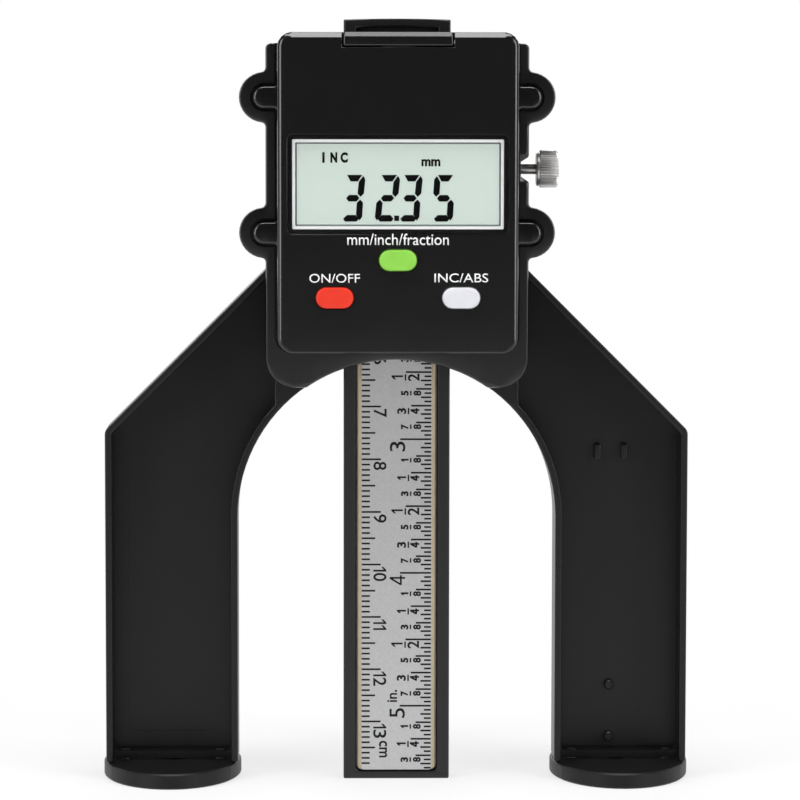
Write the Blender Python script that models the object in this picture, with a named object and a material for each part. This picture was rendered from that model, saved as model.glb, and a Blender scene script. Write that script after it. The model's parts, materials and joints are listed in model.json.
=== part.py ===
"""Digital depth gauge: an arch frame on two feet, a display head and a sliding bar with a rule.

Frame: +X to the right, the display faces -Y, +Z up. The origin is the centre of the bar's
measuring face, which is level with the soles at rest. All lengths are in metres.
"""

import math

import bmesh
import bpy
from mathutils import Matrix, Vector

MM = 0.001

# Clearances shared by all pieces
GAP = 0.3 * MM
THIN_GAP = 0.1 * MM
OVERRUN = 2.0 * MM

# Sliding bar with its recess
BAR_WIDTH = 20.0 * MM
BAR_THICKNESS = 5.6 * MM
BAR_LENGTH = 143.7 * MM
BAR_EDGE = 0.3 * MM
BAR_TOP_ARCH = 0.2 * MM
RECESS_RAIL = 2.25 * MM
RECESS_END = 1.4 * MM
RECESS_CORNER = 1.0 * MM
RECESS_TOP_ARCH = 0.3 * MM

# Grid strip and steel rule in the recess
STRIP_MARGIN = 0.25 * MM
STRIP_THICKNESS = 0.8 * MM
STRIP_CORNER = 1.0 * MM
STRIP_TOP_MARGIN = 2.5 * MM
RULE_MARGIN = 0.9 * MM
RULE_THICKNESS = 0.4 * MM
RULE_CORNER = 0.3 * MM

# Bridge frame; the head's heights are measured up from the arch's crown
ARCH_RADIUS = 30.0 * MM
ARCH_CENTRE_HEIGHT = 50.0 * MM
LEG_WIDTH = 25.0 * MM
SHOULDER_RISE = 18.35 * MM
SHOULDER_CORNER = 1.7 * MM
FRAME_DEPTH = 10.3 * MM
FRAME_WALL = 1.3 * MM
WEB_THICKNESS = 2.2 * MM
LEG_FLOOR_THICKNESS = 1.4 * MM
LEG_FLOOR_SETBACK = 4.4 * MM
TRAY_CORNER = 1.0 * MM
HEAD_INSET = 1.6 * MM
HEAD_TOP_INSET = 0.6 * MM
HEAD_CORNER = 1.2 * MM
BAR_CLEARANCE = 0.25 * MM
RELIEF_DEPTH = 1.8 * MM
RELIEF_SIDE_MARGIN = 6.0 * MM
RELIEF_MARGIN = 5.0 * MM
RELIEF_CORNER = 3.0 * MM
GUSSET_THICKNESS = 2.0 * MM
GUSSET_HEIGHT = 14.0 * MM
GUSSET_REACH = 10.0 * MM

# Shallow panel in the left web, ribs and pegs on the right web
PANEL_SIDE_MARGIN = 4.0 * MM
PANEL_LOW_MARGIN = 4.6 * MM
PANEL_RISE = 6.7 * MM
PANEL_DEPTH = 0.2 * MM
PANEL_CORNER = 1.9 * MM
RIB_THICKNESS = 1.2 * MM
RIB_LENGTH = 2.9 * MM
RIB_STAND = 1.6 * MM
RIB_RISE = 11.7 * MM
RIB_OUTSET = 1.0 * MM
RIB_SPACING = 5.1 * MM
PEG_RADIUS = 0.9 * MM
PEG_STAND = 1.2 * MM
PEG_EDGE = 0.2 * MM
PEG_INSET = 1.65 * MM
PEG_LOW_MARGIN = 3.55 * MM
PEG_SPACING = 10.0 * MM

# Ears that join the frame, the carrier plate and the housing
EAR_RISE = 5.45 * MM
EAR_SPACING = 25.25 * MM
EAR_OUTSET = 2.5 * MM
EAR_RADIUS = 4.75 * MM
EAR_FILLET = 0.85 * MM
FRAME_EAR_INSET = 0.45 * MM

# Carrier plate
PLATE_OVERHANG = 2.3 * MM
PLATE_TOP_STEP = 2.0 * MM
PLATE_SKIRT = 5.3 * MM
PLATE_THICKNESS = 2.7 * MM
PLATE_TOP_CORNER = 1.0 * MM
PLATE_BOTTOM_CORNER = 5.3 * MM
PLATE_EDGE = 0.35 * MM
NOTCH_DEPTH = 1.5 * MM
NOTCH_HEIGHT = 4.8 * MM
NOTCH_CHAMFER = 1.0 * MM

# Display housing
HOUSING_WIDTH = 44.6 * MM
HOUSING_RISE = 1.9 * MM
HOUSING_WALL = 1.5 * MM
HOUSING_CORNER = 2.6 * MM
HOUSING_EDGE = 1.0 * MM
LUG_WIDTH = 4.1 * MM
LUG_THICKNESS = 2.2 * MM
LUG_EDGE = 0.5 * MM
LUG_FLARE = 0.8 * MM

# Display
DISPLAY_TO_TOP = 28.0 * MM
WINDOW_SIDE_MARGIN = 1.85 * MM
WINDOW_RECESS_HEIGHT = 18.4 * MM
WINDOW_RECESS_DEPTH = 1.0 * MM
WINDOW_THICKNESS = 0.7 * MM
WINDOW_CORNER = 1.2 * MM
WINDOW_LEDGE = 0.8 * MM
OPENING_CORNER = 0.5 * MM
LCD_FRAME_LAND = 0.55 * MM
LCD_FRAME_FLANGE = 0.8 * MM
LCD_FRAME_DEPTH = 2.6 * MM
LCD_THICKNESS = 2.0 * MM
LCD_CORNER = 0.3 * MM
ZEBRA_THICKNESS = 1.6 * MM
ZEBRA_END_MARGIN = 2.0 * MM
ZEBRA_EDGE_MARGIN = 0.8 * MM

# Buttons
BUTTON_WIDTH = 7.0 * MM
BUTTON_HEIGHT = 3.9 * MM
BUTTON_PROUD = 0.8 * MM
BUTTON_CLEARANCE = 0.15 * MM
BUTTON_EDGE = 0.4 * MM
BUTTON_FLANGE = 0.6 * MM
BUTTON_FLANGE_THICKNESS = 0.8 * MM
BUTTON_STEM_RADIUS = 1.3 * MM
BUTTON_TRAVEL = 0.5 * MM
BUTTON_TO_WINDOW = 2.85 * MM
BUTTON_ROW_STEP = 6.95 * MM
SIDE_BUTTON_INSET = 10.6 * MM
SWITCH_SIZE = 4.5 * MM
SWITCH_BODY = 1.8 * MM
SWITCH_PLUNGER = 1.0 * MM
SWITCH_PLUNGER_RADIUS = 1.1 * MM

# Circuit board and its screws
BOARD_SIDE_MARGIN = 1.6 * MM
BOARD_LOW_MARGIN = 4.1 * MM
BOARD_TOP_MARGIN = 5.1 * MM
BOARD_THICKNESS = 1.0 * MM
BOARD_TO_BAR = 1.1 * MM
BOARD_CORNER = 1.5 * MM
CHIP_SIZE = 7.0 * MM
CHIP_THICKNESS = 1.1 * MM
CHIP_RISE = 1.0 * MM
BOSS_RADIUS = 1.9 * MM
BOSS_INSET = 2.5 * MM
BOSS_TO_BUTTON = 3.65 * MM
BOARD_SCREW_RADIUS = 0.8 * MM
BOARD_SCREW_HEAD_RADIUS = 1.6 * MM
BOARD_SCREW_HEAD = 0.6 * MM
BOARD_SCREW_LENGTH = 5.0 * MM
SCREW_CLEARANCE = 0.15 * MM

# Battery drawer with its cell and contacts
CELL_RADIUS = 10.0 * MM
CELL_THICKNESS = 3.2 * MM
CELL_EDGE = 0.4 * MM
DRAWER_WALL = 0.35 * MM
DRAWER_FLOOR = 0.5 * MM
DRAWER_END = 1.65 * MM
DRAWER_CORNER = 0.3 * MM
DRAWER_HOLE_RADIUS = 6.5 * MM
DRAWER_LIP_HEIGHT = 2.5 * MM
DRAWER_LIP_PROUD = 0.2 * MM
DRAWER_LIP_EDGE = 0.6 * MM
DRAWER_GUIDE = 1.0 * MM
DRAWER_REAR_CLEARANCE = 0.9 * MM
CONTACT_WIDTH = 3.0 * MM
CONTACT_THICKNESS = 0.25 * MM
CONTACT_LENGTH = 6.0 * MM
CONTACT_SPACING = 4.0 * MM

# Lock screw, insert and shoe
LOCK_DROP = 0.825 * MM
KNOB_RADIUS = 3.5 * MM
KNOB_LENGTH = 4.0 * MM
KNOB_EDGE = 0.5 * MM
KNOB_CLEARANCE = 2.0 * MM
KNURL_DEPTH = 0.22 * MM
KNURL_COUNT = 28
KNURL_CREST_STEPS = (1, 2)
KNURL_STEPS = 4
LOCK_SHAFT_RADIUS = 1.0 * MM
INSERT_RADIUS = 2.0 * MM
INSERT_LENGTH = 5.2 * MM
SHOE_RADIUS = 1.5 * MM
SHOE_LENGTH = 2.5 * MM

# Ear screws
EAR_SCREW_RADIUS = 0.9 * MM
EAR_SCREW_HEAD_RADIUS = 1.8 * MM
EAR_SCREW_HEAD = 1.4 * MM
EAR_SCREW_SINK = 2.0 * MM

# Foot bases, magnets and screws
FOOT_OVERHANG = 0.6 * MM
FOOT_HALF_DEPTH = 18.6 * MM
FOOT_THICKNESS = 2.9 * MM
FOOT_EDGE = 0.3 * MM
FOOT_OUTSET = 0.15 * MM
FOOT_BEHIND_BAR = 4.5 * MM
MAGNET_RADIUS = 5.0 * MM
MAGNET_THICKNESS = 2.0 * MM
MAGNET_MARGIN = 3.0 * MM
FOOT_SCREW_RADIUS = 0.9 * MM
FOOT_SCREW_HEAD_RADIUS = 1.7 * MM
FOOT_SCREW_HEAD = 0.9 * MM
FOOT_SCREW_MARGIN = 4.1 * MM

# Steps round a full circle or across an edge, and the sharpest angle shaded smooth, in degrees
FINE_STEPS = 48
ROUND_STEPS = 24
SMALL_STEPS = 16
CORNER_STEPS = 4
EDGE_STEPS = 3
TINY_STEPS = 2
SMOOTH_ANGLE = 40

# Heights up the head, from the arch's crown
CROWN_HEIGHT = ARCH_CENTRE_HEIGHT + ARCH_RADIUS
SHOULDER_TOP = CROWN_HEIGHT + SHOULDER_RISE
EAR_LOWER_HEIGHT = SHOULDER_TOP + EAR_RISE
EAR_UPPER_HEIGHT = EAR_LOWER_HEIGHT + EAR_SPACING
EAR_HEIGHTS = (EAR_LOWER_HEIGHT, EAR_UPPER_HEIGHT)
LOCK_HEIGHT = (EAR_LOWER_HEIGHT + EAR_UPPER_HEIGHT) / 2 - LOCK_DROP
HOUSING_BOTTOM = CROWN_HEIGHT + HOUSING_RISE
BOARD_BOTTOM = HOUSING_BOTTOM + BOARD_LOW_MARGIN
BOSS_LOW_HEIGHT = BOARD_BOTTOM + BOSS_INSET
SIDE_BUTTON_HEIGHT = BOSS_LOW_HEIGHT + BOSS_TO_BUTTON
UNITS_BUTTON_HEIGHT = SIDE_BUTTON_HEIGHT + BUTTON_ROW_STEP
WINDOW_BOTTOM = UNITS_BUTTON_HEIGHT + BUTTON_HEIGHT / 2 + BUTTON_TO_WINDOW
DISPLAY_HEIGHT = WINDOW_BOTTOM + WINDOW_RECESS_HEIGHT / 2
HOUSING_TOP = DISPLAY_HEIGHT + DISPLAY_TO_TOP
BOARD_TOP = HOUSING_TOP - BOARD_TOP_MARGIN
BOSS_HEIGHTS = (BOSS_LOW_HEIGHT, BOARD_TOP - BOSS_INSET)
PLATE_TOP = HOUSING_TOP - PLATE_TOP_STEP
PLATE_BOTTOM = CROWN_HEIGHT - PLATE_SKIRT
FRAME_BOTTOM = FOOT_THICKNESS + GAP
FRAME_TOP = PLATE_TOP - HEAD_TOP_INSET

# Widths, from the bar and the housing outwards
RECESS_WIDTH = BAR_WIDTH - 2 * RECESS_RAIL
STRIP_WIDTH = RECESS_WIDTH - 2 * STRIP_MARGIN
RULE_WIDTH = STRIP_WIDTH - 2 * RULE_MARGIN
CHANNEL_HALF_WIDTH = BAR_WIDTH / 2 + BAR_CLEARANCE
PLATE_WIDTH = HOUSING_WIDTH + 2 * PLATE_OVERHANG
HEAD_HALF_WIDTH = PLATE_WIDTH / 2 - HEAD_INSET
EAR_HALF_SPACING = HOUSING_WIDTH / 2 + EAR_OUTSET
FRAME_EAR_RADIUS = EAR_RADIUS - FRAME_EAR_INSET
RELIEF_WIDTH = 2 * (HEAD_HALF_WIDTH - RELIEF_SIDE_MARGIN)
WINDOW_RECESS_WIDTH = HOUSING_WIDTH - 2 * WINDOW_SIDE_MARGIN
OPENING_WIDTH = WINDOW_RECESS_WIDTH - 2 * WINDOW_LEDGE
OPENING_HEIGHT = WINDOW_RECESS_HEIGHT - 2 * WINDOW_LEDGE
LCD_FRAME_WIDTH = OPENING_WIDTH - 2 * THIN_GAP
LCD_FRAME_HEIGHT = OPENING_HEIGHT - 2 * THIN_GAP
LCD_WIDTH = LCD_FRAME_WIDTH - 2 * LCD_FRAME_LAND - 2 * THIN_GAP
LCD_HEIGHT = LCD_FRAME_HEIGHT - 2 * LCD_FRAME_LAND - 2 * THIN_GAP
BOARD_WIDTH = HOUSING_WIDTH - 2 * HOUSING_WALL - 2 * BOARD_SIDE_MARGIN
BOSS_HALF_SPACING = BOARD_WIDTH / 2 - BOSS_INSET
SIDE_BUTTON_OFFSET = HOUSING_WIDTH / 2 - SIDE_BUTTON_INSET
BUTTON_PLACES = {
    "units": (0.0, UNITS_BUTTON_HEIGHT),
    "power": (-SIDE_BUTTON_OFFSET, SIDE_BUTTON_HEIGHT),
    "datum": (SIDE_BUTTON_OFFSET, SIDE_BUTTON_HEIGHT),
}
KNOB_START = PLATE_WIDTH / 2 + KNOB_CLEARANCE
LEG_INNER = ARCH_RADIUS
LEG_OUTER = LEG_INNER + LEG_WIDTH
LEG_MIDDLE = LEG_INNER + LEG_WIDTH / 2
SHOULDER_HEIGHT = SHOULDER_TOP - (LEG_OUTER - HEAD_HALF_WIDTH)
FOOT_MIDDLE = LEG_MIDDLE + FOOT_OUTSET
FOOT_HALF_WIDTH = LEG_WIDTH / 2 + FOOT_OVERHANG
MAGNET_OFFSET = FOOT_HALF_DEPTH - MAGNET_RADIUS - MAGNET_MARGIN
FOOT_SCREW_OFFSET = FOOT_HALF_WIDTH - FOOT_SCREW_MARGIN

# Planes from the bar forwards and backwards; -Y is the front
BAR_FRONT = -BAR_THICKNESS / 2
BAR_BACK = BAR_THICKNESS / 2
RECESS_DEPTH = STRIP_THICKNESS + RULE_THICKNESS + 3 * THIN_GAP
FRAME_FRONT = BAR_FRONT
FRAME_BACK = FRAME_FRONT + FRAME_DEPTH
WEB_FRONT = FRAME_BACK - WEB_THICKNESS
LEG_FLOOR_FRONT = FRAME_FRONT + LEG_FLOOR_SETBACK
FOOT_SCREW_PLACE = (LEG_FLOOR_FRONT + WEB_FRONT) / 2
CHANNEL_FLOOR = BAR_BACK + GAP
PLATE_BACK = FRAME_FRONT - GAP
PLATE_FRONT = PLATE_BACK - PLATE_THICKNESS
BOARD_BACK = BAR_FRONT - BOARD_TO_BAR
BOARD_FRONT = BOARD_BACK - BOARD_THICKNESS
HOUSING_BACK = PLATE_FRONT - GAP
DRAWER_BACK = HOUSING_BACK - DRAWER_REAR_CLEARANCE
DRAWER_FRONT = DRAWER_BACK - DRAWER_FLOOR - THIN_GAP - CELL_THICKNESS
LCD_FRAME_BACK = DRAWER_FRONT - GAP
LCD_FRAME_FRONT = LCD_FRAME_BACK - LCD_FRAME_DEPTH
LCD_FRONT = LCD_FRAME_FRONT + THIN_GAP
LCD_BACK = LCD_FRONT + LCD_THICKNESS
WINDOW_FLOOR = LCD_FRAME_FRONT - THIN_GAP
HOUSING_FRONT = WINDOW_FLOOR - WINDOW_RECESS_DEPTH
HOUSING_INNER = HOUSING_FRONT + HOUSING_WALL
SWITCH_TIP = BOARD_FRONT - GAP - SWITCH_BODY - SWITCH_PLUNGER
STEM_TIP = SWITCH_TIP - GAP - BUTTON_TRAVEL

# Battery drawer, from its cell
DRAWER_HALF_WIDTH = CELL_RADIUS + THIN_GAP + DRAWER_WALL
DRAWER_LIP_WIDTH = 2 * (DRAWER_HALF_WIDTH - DRAWER_WALL)
CELL_HEIGHT = HOUSING_TOP - DRAWER_END - THIN_GAP - CELL_RADIUS
DRAWER_BOTTOM = CELL_HEIGHT - CELL_RADIUS - THIN_GAP - DRAWER_WALL

# Colour, roughness and metallic value of each finish
FINISHES = {
    "black plastic": ((0.016, 0.016, 0.018), 0.45, 0.0),
    "glossy clear": ((0.8, 0.85, 0.83), 0.08, 0.0),
    "white plastic": ((0.85, 0.86, 0.86), 0.4, 0.0),
    "display glass": ((0.6, 0.68, 0.62), 0.15, 0.0),
    "green button": ((0.19, 0.64, 0.08), 0.4, 0.0),
    "red button": ((0.93, 0.045, 0.026), 0.4, 0.0),
    "white button": ((0.8, 0.81, 0.85), 0.4, 0.0),
    "black bar": ((0.018, 0.018, 0.02), 0.4, 0.0),
    "circuit strip": ((0.55, 0.4, 0.16), 0.5, 0.0),
    "brushed steel": ((0.55, 0.55, 0.54), 0.35, 1.0),
    "nickel": ((0.6, 0.6, 0.6), 0.3, 1.0),
    "brass": ((0.75, 0.55, 0.2), 0.35, 1.0),
    "green board": ((0.02, 0.16, 0.06), 0.5, 0.0),
    "chip epoxy": ((0.02, 0.02, 0.02), 0.6, 0.0),
    "grey elastomer": ((0.25, 0.1, 0.1), 0.7, 0.0),
    "zinc screw": ((0.35, 0.35, 0.36), 0.4, 1.0),
}


def clear_scene():
    for obj in list(bpy.data.objects):
        bpy.data.objects.remove(obj, do_unlink=True)


def finish_material(finish):
    """The Principled material of a finish, made once."""
    material = bpy.data.materials.get(finish)
    if material is None:
        colour, roughness, metallic = FINISHES[finish]
        material = bpy.data.materials.new(finish)
        material.use_nodes = True
        shader = material.node_tree.nodes["Principled BSDF"]
        shader.inputs["Base Color"].default_value = (*colour, 1.0)
        shader.inputs["Roughness"].default_value = roughness
        shader.inputs["Metallic"].default_value = metallic
    return material


def make_object(name, mesh_data, finish=None, smooth=False):
    """Turns a bmesh into an object; one without a finish is a cutter or a helper."""
    bmesh.ops.recalc_face_normals(mesh_data, faces=mesh_data.faces)
    mesh = bpy.data.meshes.new(name)
    mesh_data.to_mesh(mesh)
    mesh_data.free()
    obj = bpy.data.objects.new(name, mesh)
    bpy.context.scene.collection.objects.link(obj)
    if finish:
        mesh.materials.append(finish_material(finish))
    else:
        obj.hide_render = True
        obj.display_type = "WIRE"
    if smooth:
        mesh.shade_smooth()
        mesh.set_sharp_from_angle(angle=math.radians(SMOOTH_ANGLE))
    return obj


def combine(obj, other, operation):
    """Adds a Boolean that keeps the EXACT solver."""
    modifier = obj.modifiers.new(other.name, "BOOLEAN")
    modifier.object = other
    modifier.operation = operation
    modifier.solver = "EXACT"


def cut(obj, *cutters):
    for cutter in cutters:
        combine(obj, cutter, "DIFFERENCE")


def join(obj, *additions):
    for addition in additions:
        combine(obj, addition, "UNION")


def place_origin(obj, origin):
    """Moves the origin of a moving piece onto its joint, with its shape left in place."""
    origin = Vector(origin)
    obj.data.transform(Matrix.Translation(-origin))
    obj.location = origin


def arc_points(centre, radius, start, end, steps):
    """Points along an arc, with both ends; the angles are in degrees."""
    angles = [math.radians(start + (end - start) * step / steps) for step in range(steps + 1)]
    return [(centre[0] + radius * math.cos(a), centre[1] + radius * math.sin(a)) for a in angles]


def round_corners(corners, steps=CORNER_STEPS):
    """Outline through corners (x, z, radius), each with its fillet arc."""
    outline = []
    count = len(corners)
    for index, (x, z, radius) in enumerate(corners):
        corner = Vector((x, z))
        if radius <= 0:
            outline.append((x, z))
            continue
        before = (Vector(corners[index - 1][:2]) - corner).normalized()
        after = (Vector(corners[(index + 1) % count][:2]) - corner).normalized()
        half_angle = before.angle(after) / 2
        centre = corner + (before + after).normalized() * (radius / math.sin(half_angle))
        first = corner + before * (radius / math.tan(half_angle)) - centre
        last = corner + after * (radius / math.tan(half_angle)) - centre
        turn = math.atan2(first.x * last.y - first.y * last.x, first.dot(last))
        for step in range(steps + 1):
            angle = turn * step / steps
            spoke = Matrix.Rotation(angle, 2) @ first
            outline.append(tuple(centre + spoke))
    return outline


def rectangle(width, bottom, top, radius, middle=0.0, steps=CORNER_STEPS):
    """Outline of a rounded rectangle, centred on middle along X."""
    left = middle - width / 2
    right = middle + width / 2
    corners = [(left, bottom), (right, bottom), (right, top), (left, top)]
    return round_corners([(x, z, radius) for x, z in corners], steps)


def pill(width, height, x, z, steps=ROUND_STEPS // 2):
    """Outline with half-round ends."""
    radius = height / 2
    reach = width / 2 - radius
    right = arc_points((x + reach, z), radius, -90, 90, steps)
    left = arc_points((x - reach, z), radius, 90, 270, steps)
    return right + left


def arched_edge(half_width, side_height, rise):
    """Points of a shallow arch from its right end to its left, without the ends."""
    radius = (half_width**2 + rise**2) / (2 * rise)
    spread = math.degrees(math.asin(half_width / radius))
    centre = (0.0, side_height + rise - radius)
    return arc_points(centre, radius, 90 - spread, 90 + spread, SMALL_STEPS // 2)[1:-1]


def extrude(name, outline, front, back, finish=None, edge=0.0, edge_steps=TINY_STEPS, smooth=False):
    """Solid of an XZ outline between two Y planes; edge rounds the front rim."""
    shape = bmesh.new()
    face = shape.faces.new([shape.verts.new((x, front, z)) for x, z in outline])
    swept = bmesh.ops.extrude_face_region(shape, geom=[face])
    moved = [item for item in swept["geom"] if isinstance(item, bmesh.types.BMVert)]
    bmesh.ops.translate(shape, vec=(0.0, back - front, 0.0), verts=moved)
    if edge > 0:
        rim = [item for item in shape.edges if all(vert.co.y == face.verts[0].co.y for vert in item.verts)]
        bmesh.ops.bevel(
            shape,
            geom=rim,
            offset=edge,
            segments=edge_steps,
            profile=0.5,
            affect="EDGES",
            material=-1,
            clamp_overlap=True,
        )
    return make_object(name, shape, finish, smooth)


def turn(name, profile, axis, origin, finish=None, steps=ROUND_STEPS, smooth=True):
    """Solid of revolution. The profile is (distance along the axis, radius), closed at both ends."""
    shape = bmesh.new()
    rings = []
    for along, radius in profile:
        ring = []
        for step in range(steps):
            angle = 2 * math.pi * step / steps
            ring.append(shape.verts.new((radius * math.cos(angle), radius * math.sin(angle), along)))
        rings.append(ring)
    for lower, upper in zip(rings, rings[1:]):
        for step in range(steps):
            following = (step + 1) % steps
            shape.faces.new((lower[step], lower[following], upper[following], upper[step]))
    shape.faces.new(rings[0])
    shape.faces.new(rings[-1])
    turned = Vector((0.0, 0.0, 1.0)).rotation_difference(Vector(axis)).to_matrix().to_4x4()
    shape.transform(Matrix.Translation(Vector(origin)) @ turned)
    return make_object(name, shape, finish, smooth)


def rod(name, radius, start, end, axis, origin, finish=None, steps=ROUND_STEPS):
    return turn(name, [(start, radius), (end, radius)], axis, origin, finish, steps)


def block(name, low, high, finish=None):
    """A plain box between two corners."""
    outline = [(low[0], low[2]), (high[0], low[2]), (high[0], high[2]), (low[0], high[2])]
    return extrude(name, outline, low[1], high[1], finish)


def ear_points(edge, radius, height):
    """The right edge's points past one ear, going up: fillet, ear, fillet."""
    centre_in = EAR_HALF_SPACING - edge
    rise = math.sqrt((radius + EAR_FILLET) ** 2 - (EAR_FILLET - centre_in) ** 2)
    tilt = math.degrees(math.atan2(rise, EAR_FILLET - centre_in))
    lower = arc_points((edge + EAR_FILLET, height - rise), EAR_FILLET, 180, 180 - tilt, CORNER_STEPS)
    ear = arc_points((EAR_HALF_SPACING, height), radius, -tilt, tilt, SMALL_STEPS)
    upper = arc_points((edge + EAR_FILLET, height + rise), EAR_FILLET, 180 + tilt, 180, CORNER_STEPS)
    return lower + ear[1:-1] + upper


def mirrored(points):
    """The same edge on the left, in reverse order, so that an outline stays one loop."""
    return [(-x, z) for x, z in reversed(points)]


def shoulder_line(x, inset=0.0):
    """Height of the 45 degree shoulder at x, with its wall inset."""
    return SHOULDER_HEIGHT + LEG_OUTER - x - inset * math.sqrt(2)


def right_frame_edge():
    """The frame's right outer edge, from the foot up to the head's top corner."""
    edge = round_corners(
        [
            (LEG_OUTER, FRAME_BOTTOM, 0.0),
            (LEG_OUTER, SHOULDER_HEIGHT, SHOULDER_CORNER),
            (HEAD_HALF_WIDTH, SHOULDER_TOP, 0.0),
        ]
    )
    for height in EAR_HEIGHTS:
        edge = edge + ear_points(HEAD_HALF_WIDTH, FRAME_EAR_RADIUS, height)
    top = arc_points(
        (HEAD_HALF_WIDTH - HEAD_CORNER, FRAME_TOP - HEAD_CORNER), HEAD_CORNER, 0, 90, CORNER_STEPS
    )
    return edge + top


def frame_outline():
    right = right_frame_edge()
    arch = arc_points((0.0, ARCH_CENTRE_HEIGHT), ARCH_RADIUS, 180, 0, FINE_STEPS)
    inner = [(-LEG_INNER, FRAME_BOTTOM)] + arch + [(LEG_INNER, FRAME_BOTTOM)]
    return right + mirrored(right) + inner


def tray_outline(side):
    """The hollow of one leg and its shoulder, inside the frame's walls."""
    outer = LEG_OUTER - FRAME_WALL
    inner = LEG_INNER + FRAME_WALL
    arch = ARCH_RADIUS + FRAME_WALL
    meet = math.degrees(math.acos(HEAD_HALF_WIDTH / arch))
    floor = FRAME_BOTTOM + LEG_FLOOR_THICKNESS
    head_low = ARCH_CENTRE_HEIGHT + arch * math.sin(math.radians(meet))
    corners = round_corners(
        [
            (inner, floor, TRAY_CORNER),
            (outer, floor, TRAY_CORNER),
            (outer, shoulder_line(outer, FRAME_WALL), TRAY_CORNER),
            (HEAD_HALF_WIDTH, shoulder_line(HEAD_HALF_WIDTH, FRAME_WALL), TRAY_CORNER),
            (HEAD_HALF_WIDTH, head_low, 0.0),
            (inner, ARCH_CENTRE_HEIGHT, 0.0),
        ]
    )
    bend = arc_points((0.0, ARCH_CENTRE_HEIGHT), arch, meet, 0, SMALL_STEPS)
    outline = corners[:-2] + bend
    return outline if side > 0 else mirrored(outline)


def leg_mouth(word, side):
    """The front of one leg's floor, left open so that the tray runs out on to the sole."""
    half_width = LEG_WIDTH / 2 - FRAME_WALL
    middle = side * LEG_MIDDLE
    return block(
        f"cut {word} leg mouth",
        (middle - half_width, FRAME_FRONT - OVERRUN, FRAME_BOTTOM - OVERRUN),
        (middle + half_width, LEG_FLOOR_FRONT, FRAME_BOTTOM + LEG_FLOOR_THICKNESS + TRAY_CORNER),
    )


def make_frame():
    frame = extrude("bridge_frame", frame_outline(), FRAME_FRONT, FRAME_BACK, "black plastic")
    for side, word in ((-1, "left"), (1, "right")):
        gusset = gusset_rib(word, side)
        join(frame, gusset)
        tray = extrude(f"cut {word} tray", tray_outline(side), FRAME_FRONT - OVERRUN, WEB_FRONT)
        mouth = leg_mouth(word, side)
        cut(frame, tray, mouth)
        for end in (-1, 1):
            place = (side * FOOT_MIDDLE + end * FOOT_SCREW_OFFSET, FOOT_SCREW_PLACE)
            hole = rod(
                f"cut {word} sole hole {end}",
                FOOT_SCREW_RADIUS + SCREW_CLEARANCE,
                FRAME_BOTTOM - OVERRUN,
                FRAME_BOTTOM + LEG_FLOOR_THICKNESS + OVERRUN,
                (0.0, 0.0, 1.0),
                (*place, 0.0),
                steps=SMALL_STEPS,
            )
            cut(frame, hole)
    channel = block(
        "cut bar channel",
        (-CHANNEL_HALF_WIDTH, FRAME_FRONT - OVERRUN, ARCH_CENTRE_HEIGHT),
        (CHANNEL_HALF_WIDTH, CHANNEL_FLOOR, FRAME_TOP + OVERRUN),
    )
    relief_low = ARCH_CENTRE_HEIGHT + ARCH_RADIUS + RELIEF_MARGIN
    relief = extrude(
        "cut rear relief",
        rectangle(RELIEF_WIDTH, relief_low, FRAME_TOP - RELIEF_MARGIN, RELIEF_CORNER),
        FRAME_BACK - RELIEF_DEPTH,
        FRAME_BACK + OVERRUN,
    )
    cut(frame, channel, relief)
    mark_webs(frame)
    for side, word in ((-1, "left"), (1, "right")):
        for where, height in zip(("lower", "upper"), EAR_HEIGHTS):
            place = (side * EAR_HALF_SPACING, 0.0, height)
            words = f"{where} {word}"
            hole = rod(
                f"cut ear hole {words}",
                EAR_SCREW_RADIUS + SCREW_CLEARANCE,
                FRAME_FRONT - OVERRUN,
                FRAME_BACK + OVERRUN,
                (0.0, 1.0, 0.0),
                place,
                steps=SMALL_STEPS,
            )
            sink = rod(
                f"cut ear sink {words}",
                EAR_SCREW_HEAD_RADIUS + SCREW_CLEARANCE,
                FRAME_BACK - EAR_SCREW_SINK,
                FRAME_BACK + OVERRUN,
                (0.0, 1.0, 0.0),
                place,
                steps=SMALL_STEPS,
            )
            cut(frame, hole, sink)
    cut(frame, lock_bore())
    return frame


def mark_webs(frame):
    """The shallow panel in the left web, and two ribs and two pegs on the right web."""
    panel = extrude(
        "cut left web panel",
        rectangle(
            LEG_WIDTH - 2 * PANEL_SIDE_MARGIN,
            FRAME_BOTTOM + PANEL_LOW_MARGIN,
            ARCH_CENTRE_HEIGHT + PANEL_RISE,
            PANEL_CORNER,
            -LEG_MIDDLE,
        ),
        WEB_FRONT - WEB_THICKNESS / 2,
        WEB_FRONT + PANEL_DEPTH,
    )
    cut(frame, panel)
    rib_middle = ARCH_CENTRE_HEIGHT + RIB_RISE
    for number in (0, 1):
        x = LEG_MIDDLE + RIB_OUTSET - number * RIB_SPACING
        rib = block(
            f"add web rib {number}",
            (x - RIB_THICKNESS / 2, WEB_FRONT - RIB_STAND, rib_middle - RIB_LENGTH / 2),
            (x + RIB_THICKNESS / 2, WEB_FRONT + WEB_THICKNESS / 2, rib_middle + RIB_LENGTH / 2),
        )
        tip = WEB_FRONT - PEG_STAND
        profile = [
            (tip, PEG_RADIUS - PEG_EDGE),
            (tip + PEG_EDGE, PEG_RADIUS),
            (WEB_FRONT + WEB_THICKNESS / 2, PEG_RADIUS),
        ]
        height = FRAME_BOTTOM + PEG_LOW_MARGIN + number * PEG_SPACING
        place = (LEG_MIDDLE - PEG_INSET, 0.0, height)
        peg = turn(f"add web peg {number}", profile, (0.0, 1.0, 0.0), place, steps=SMALL_STEPS)
        join(frame, rib, peg)


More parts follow.
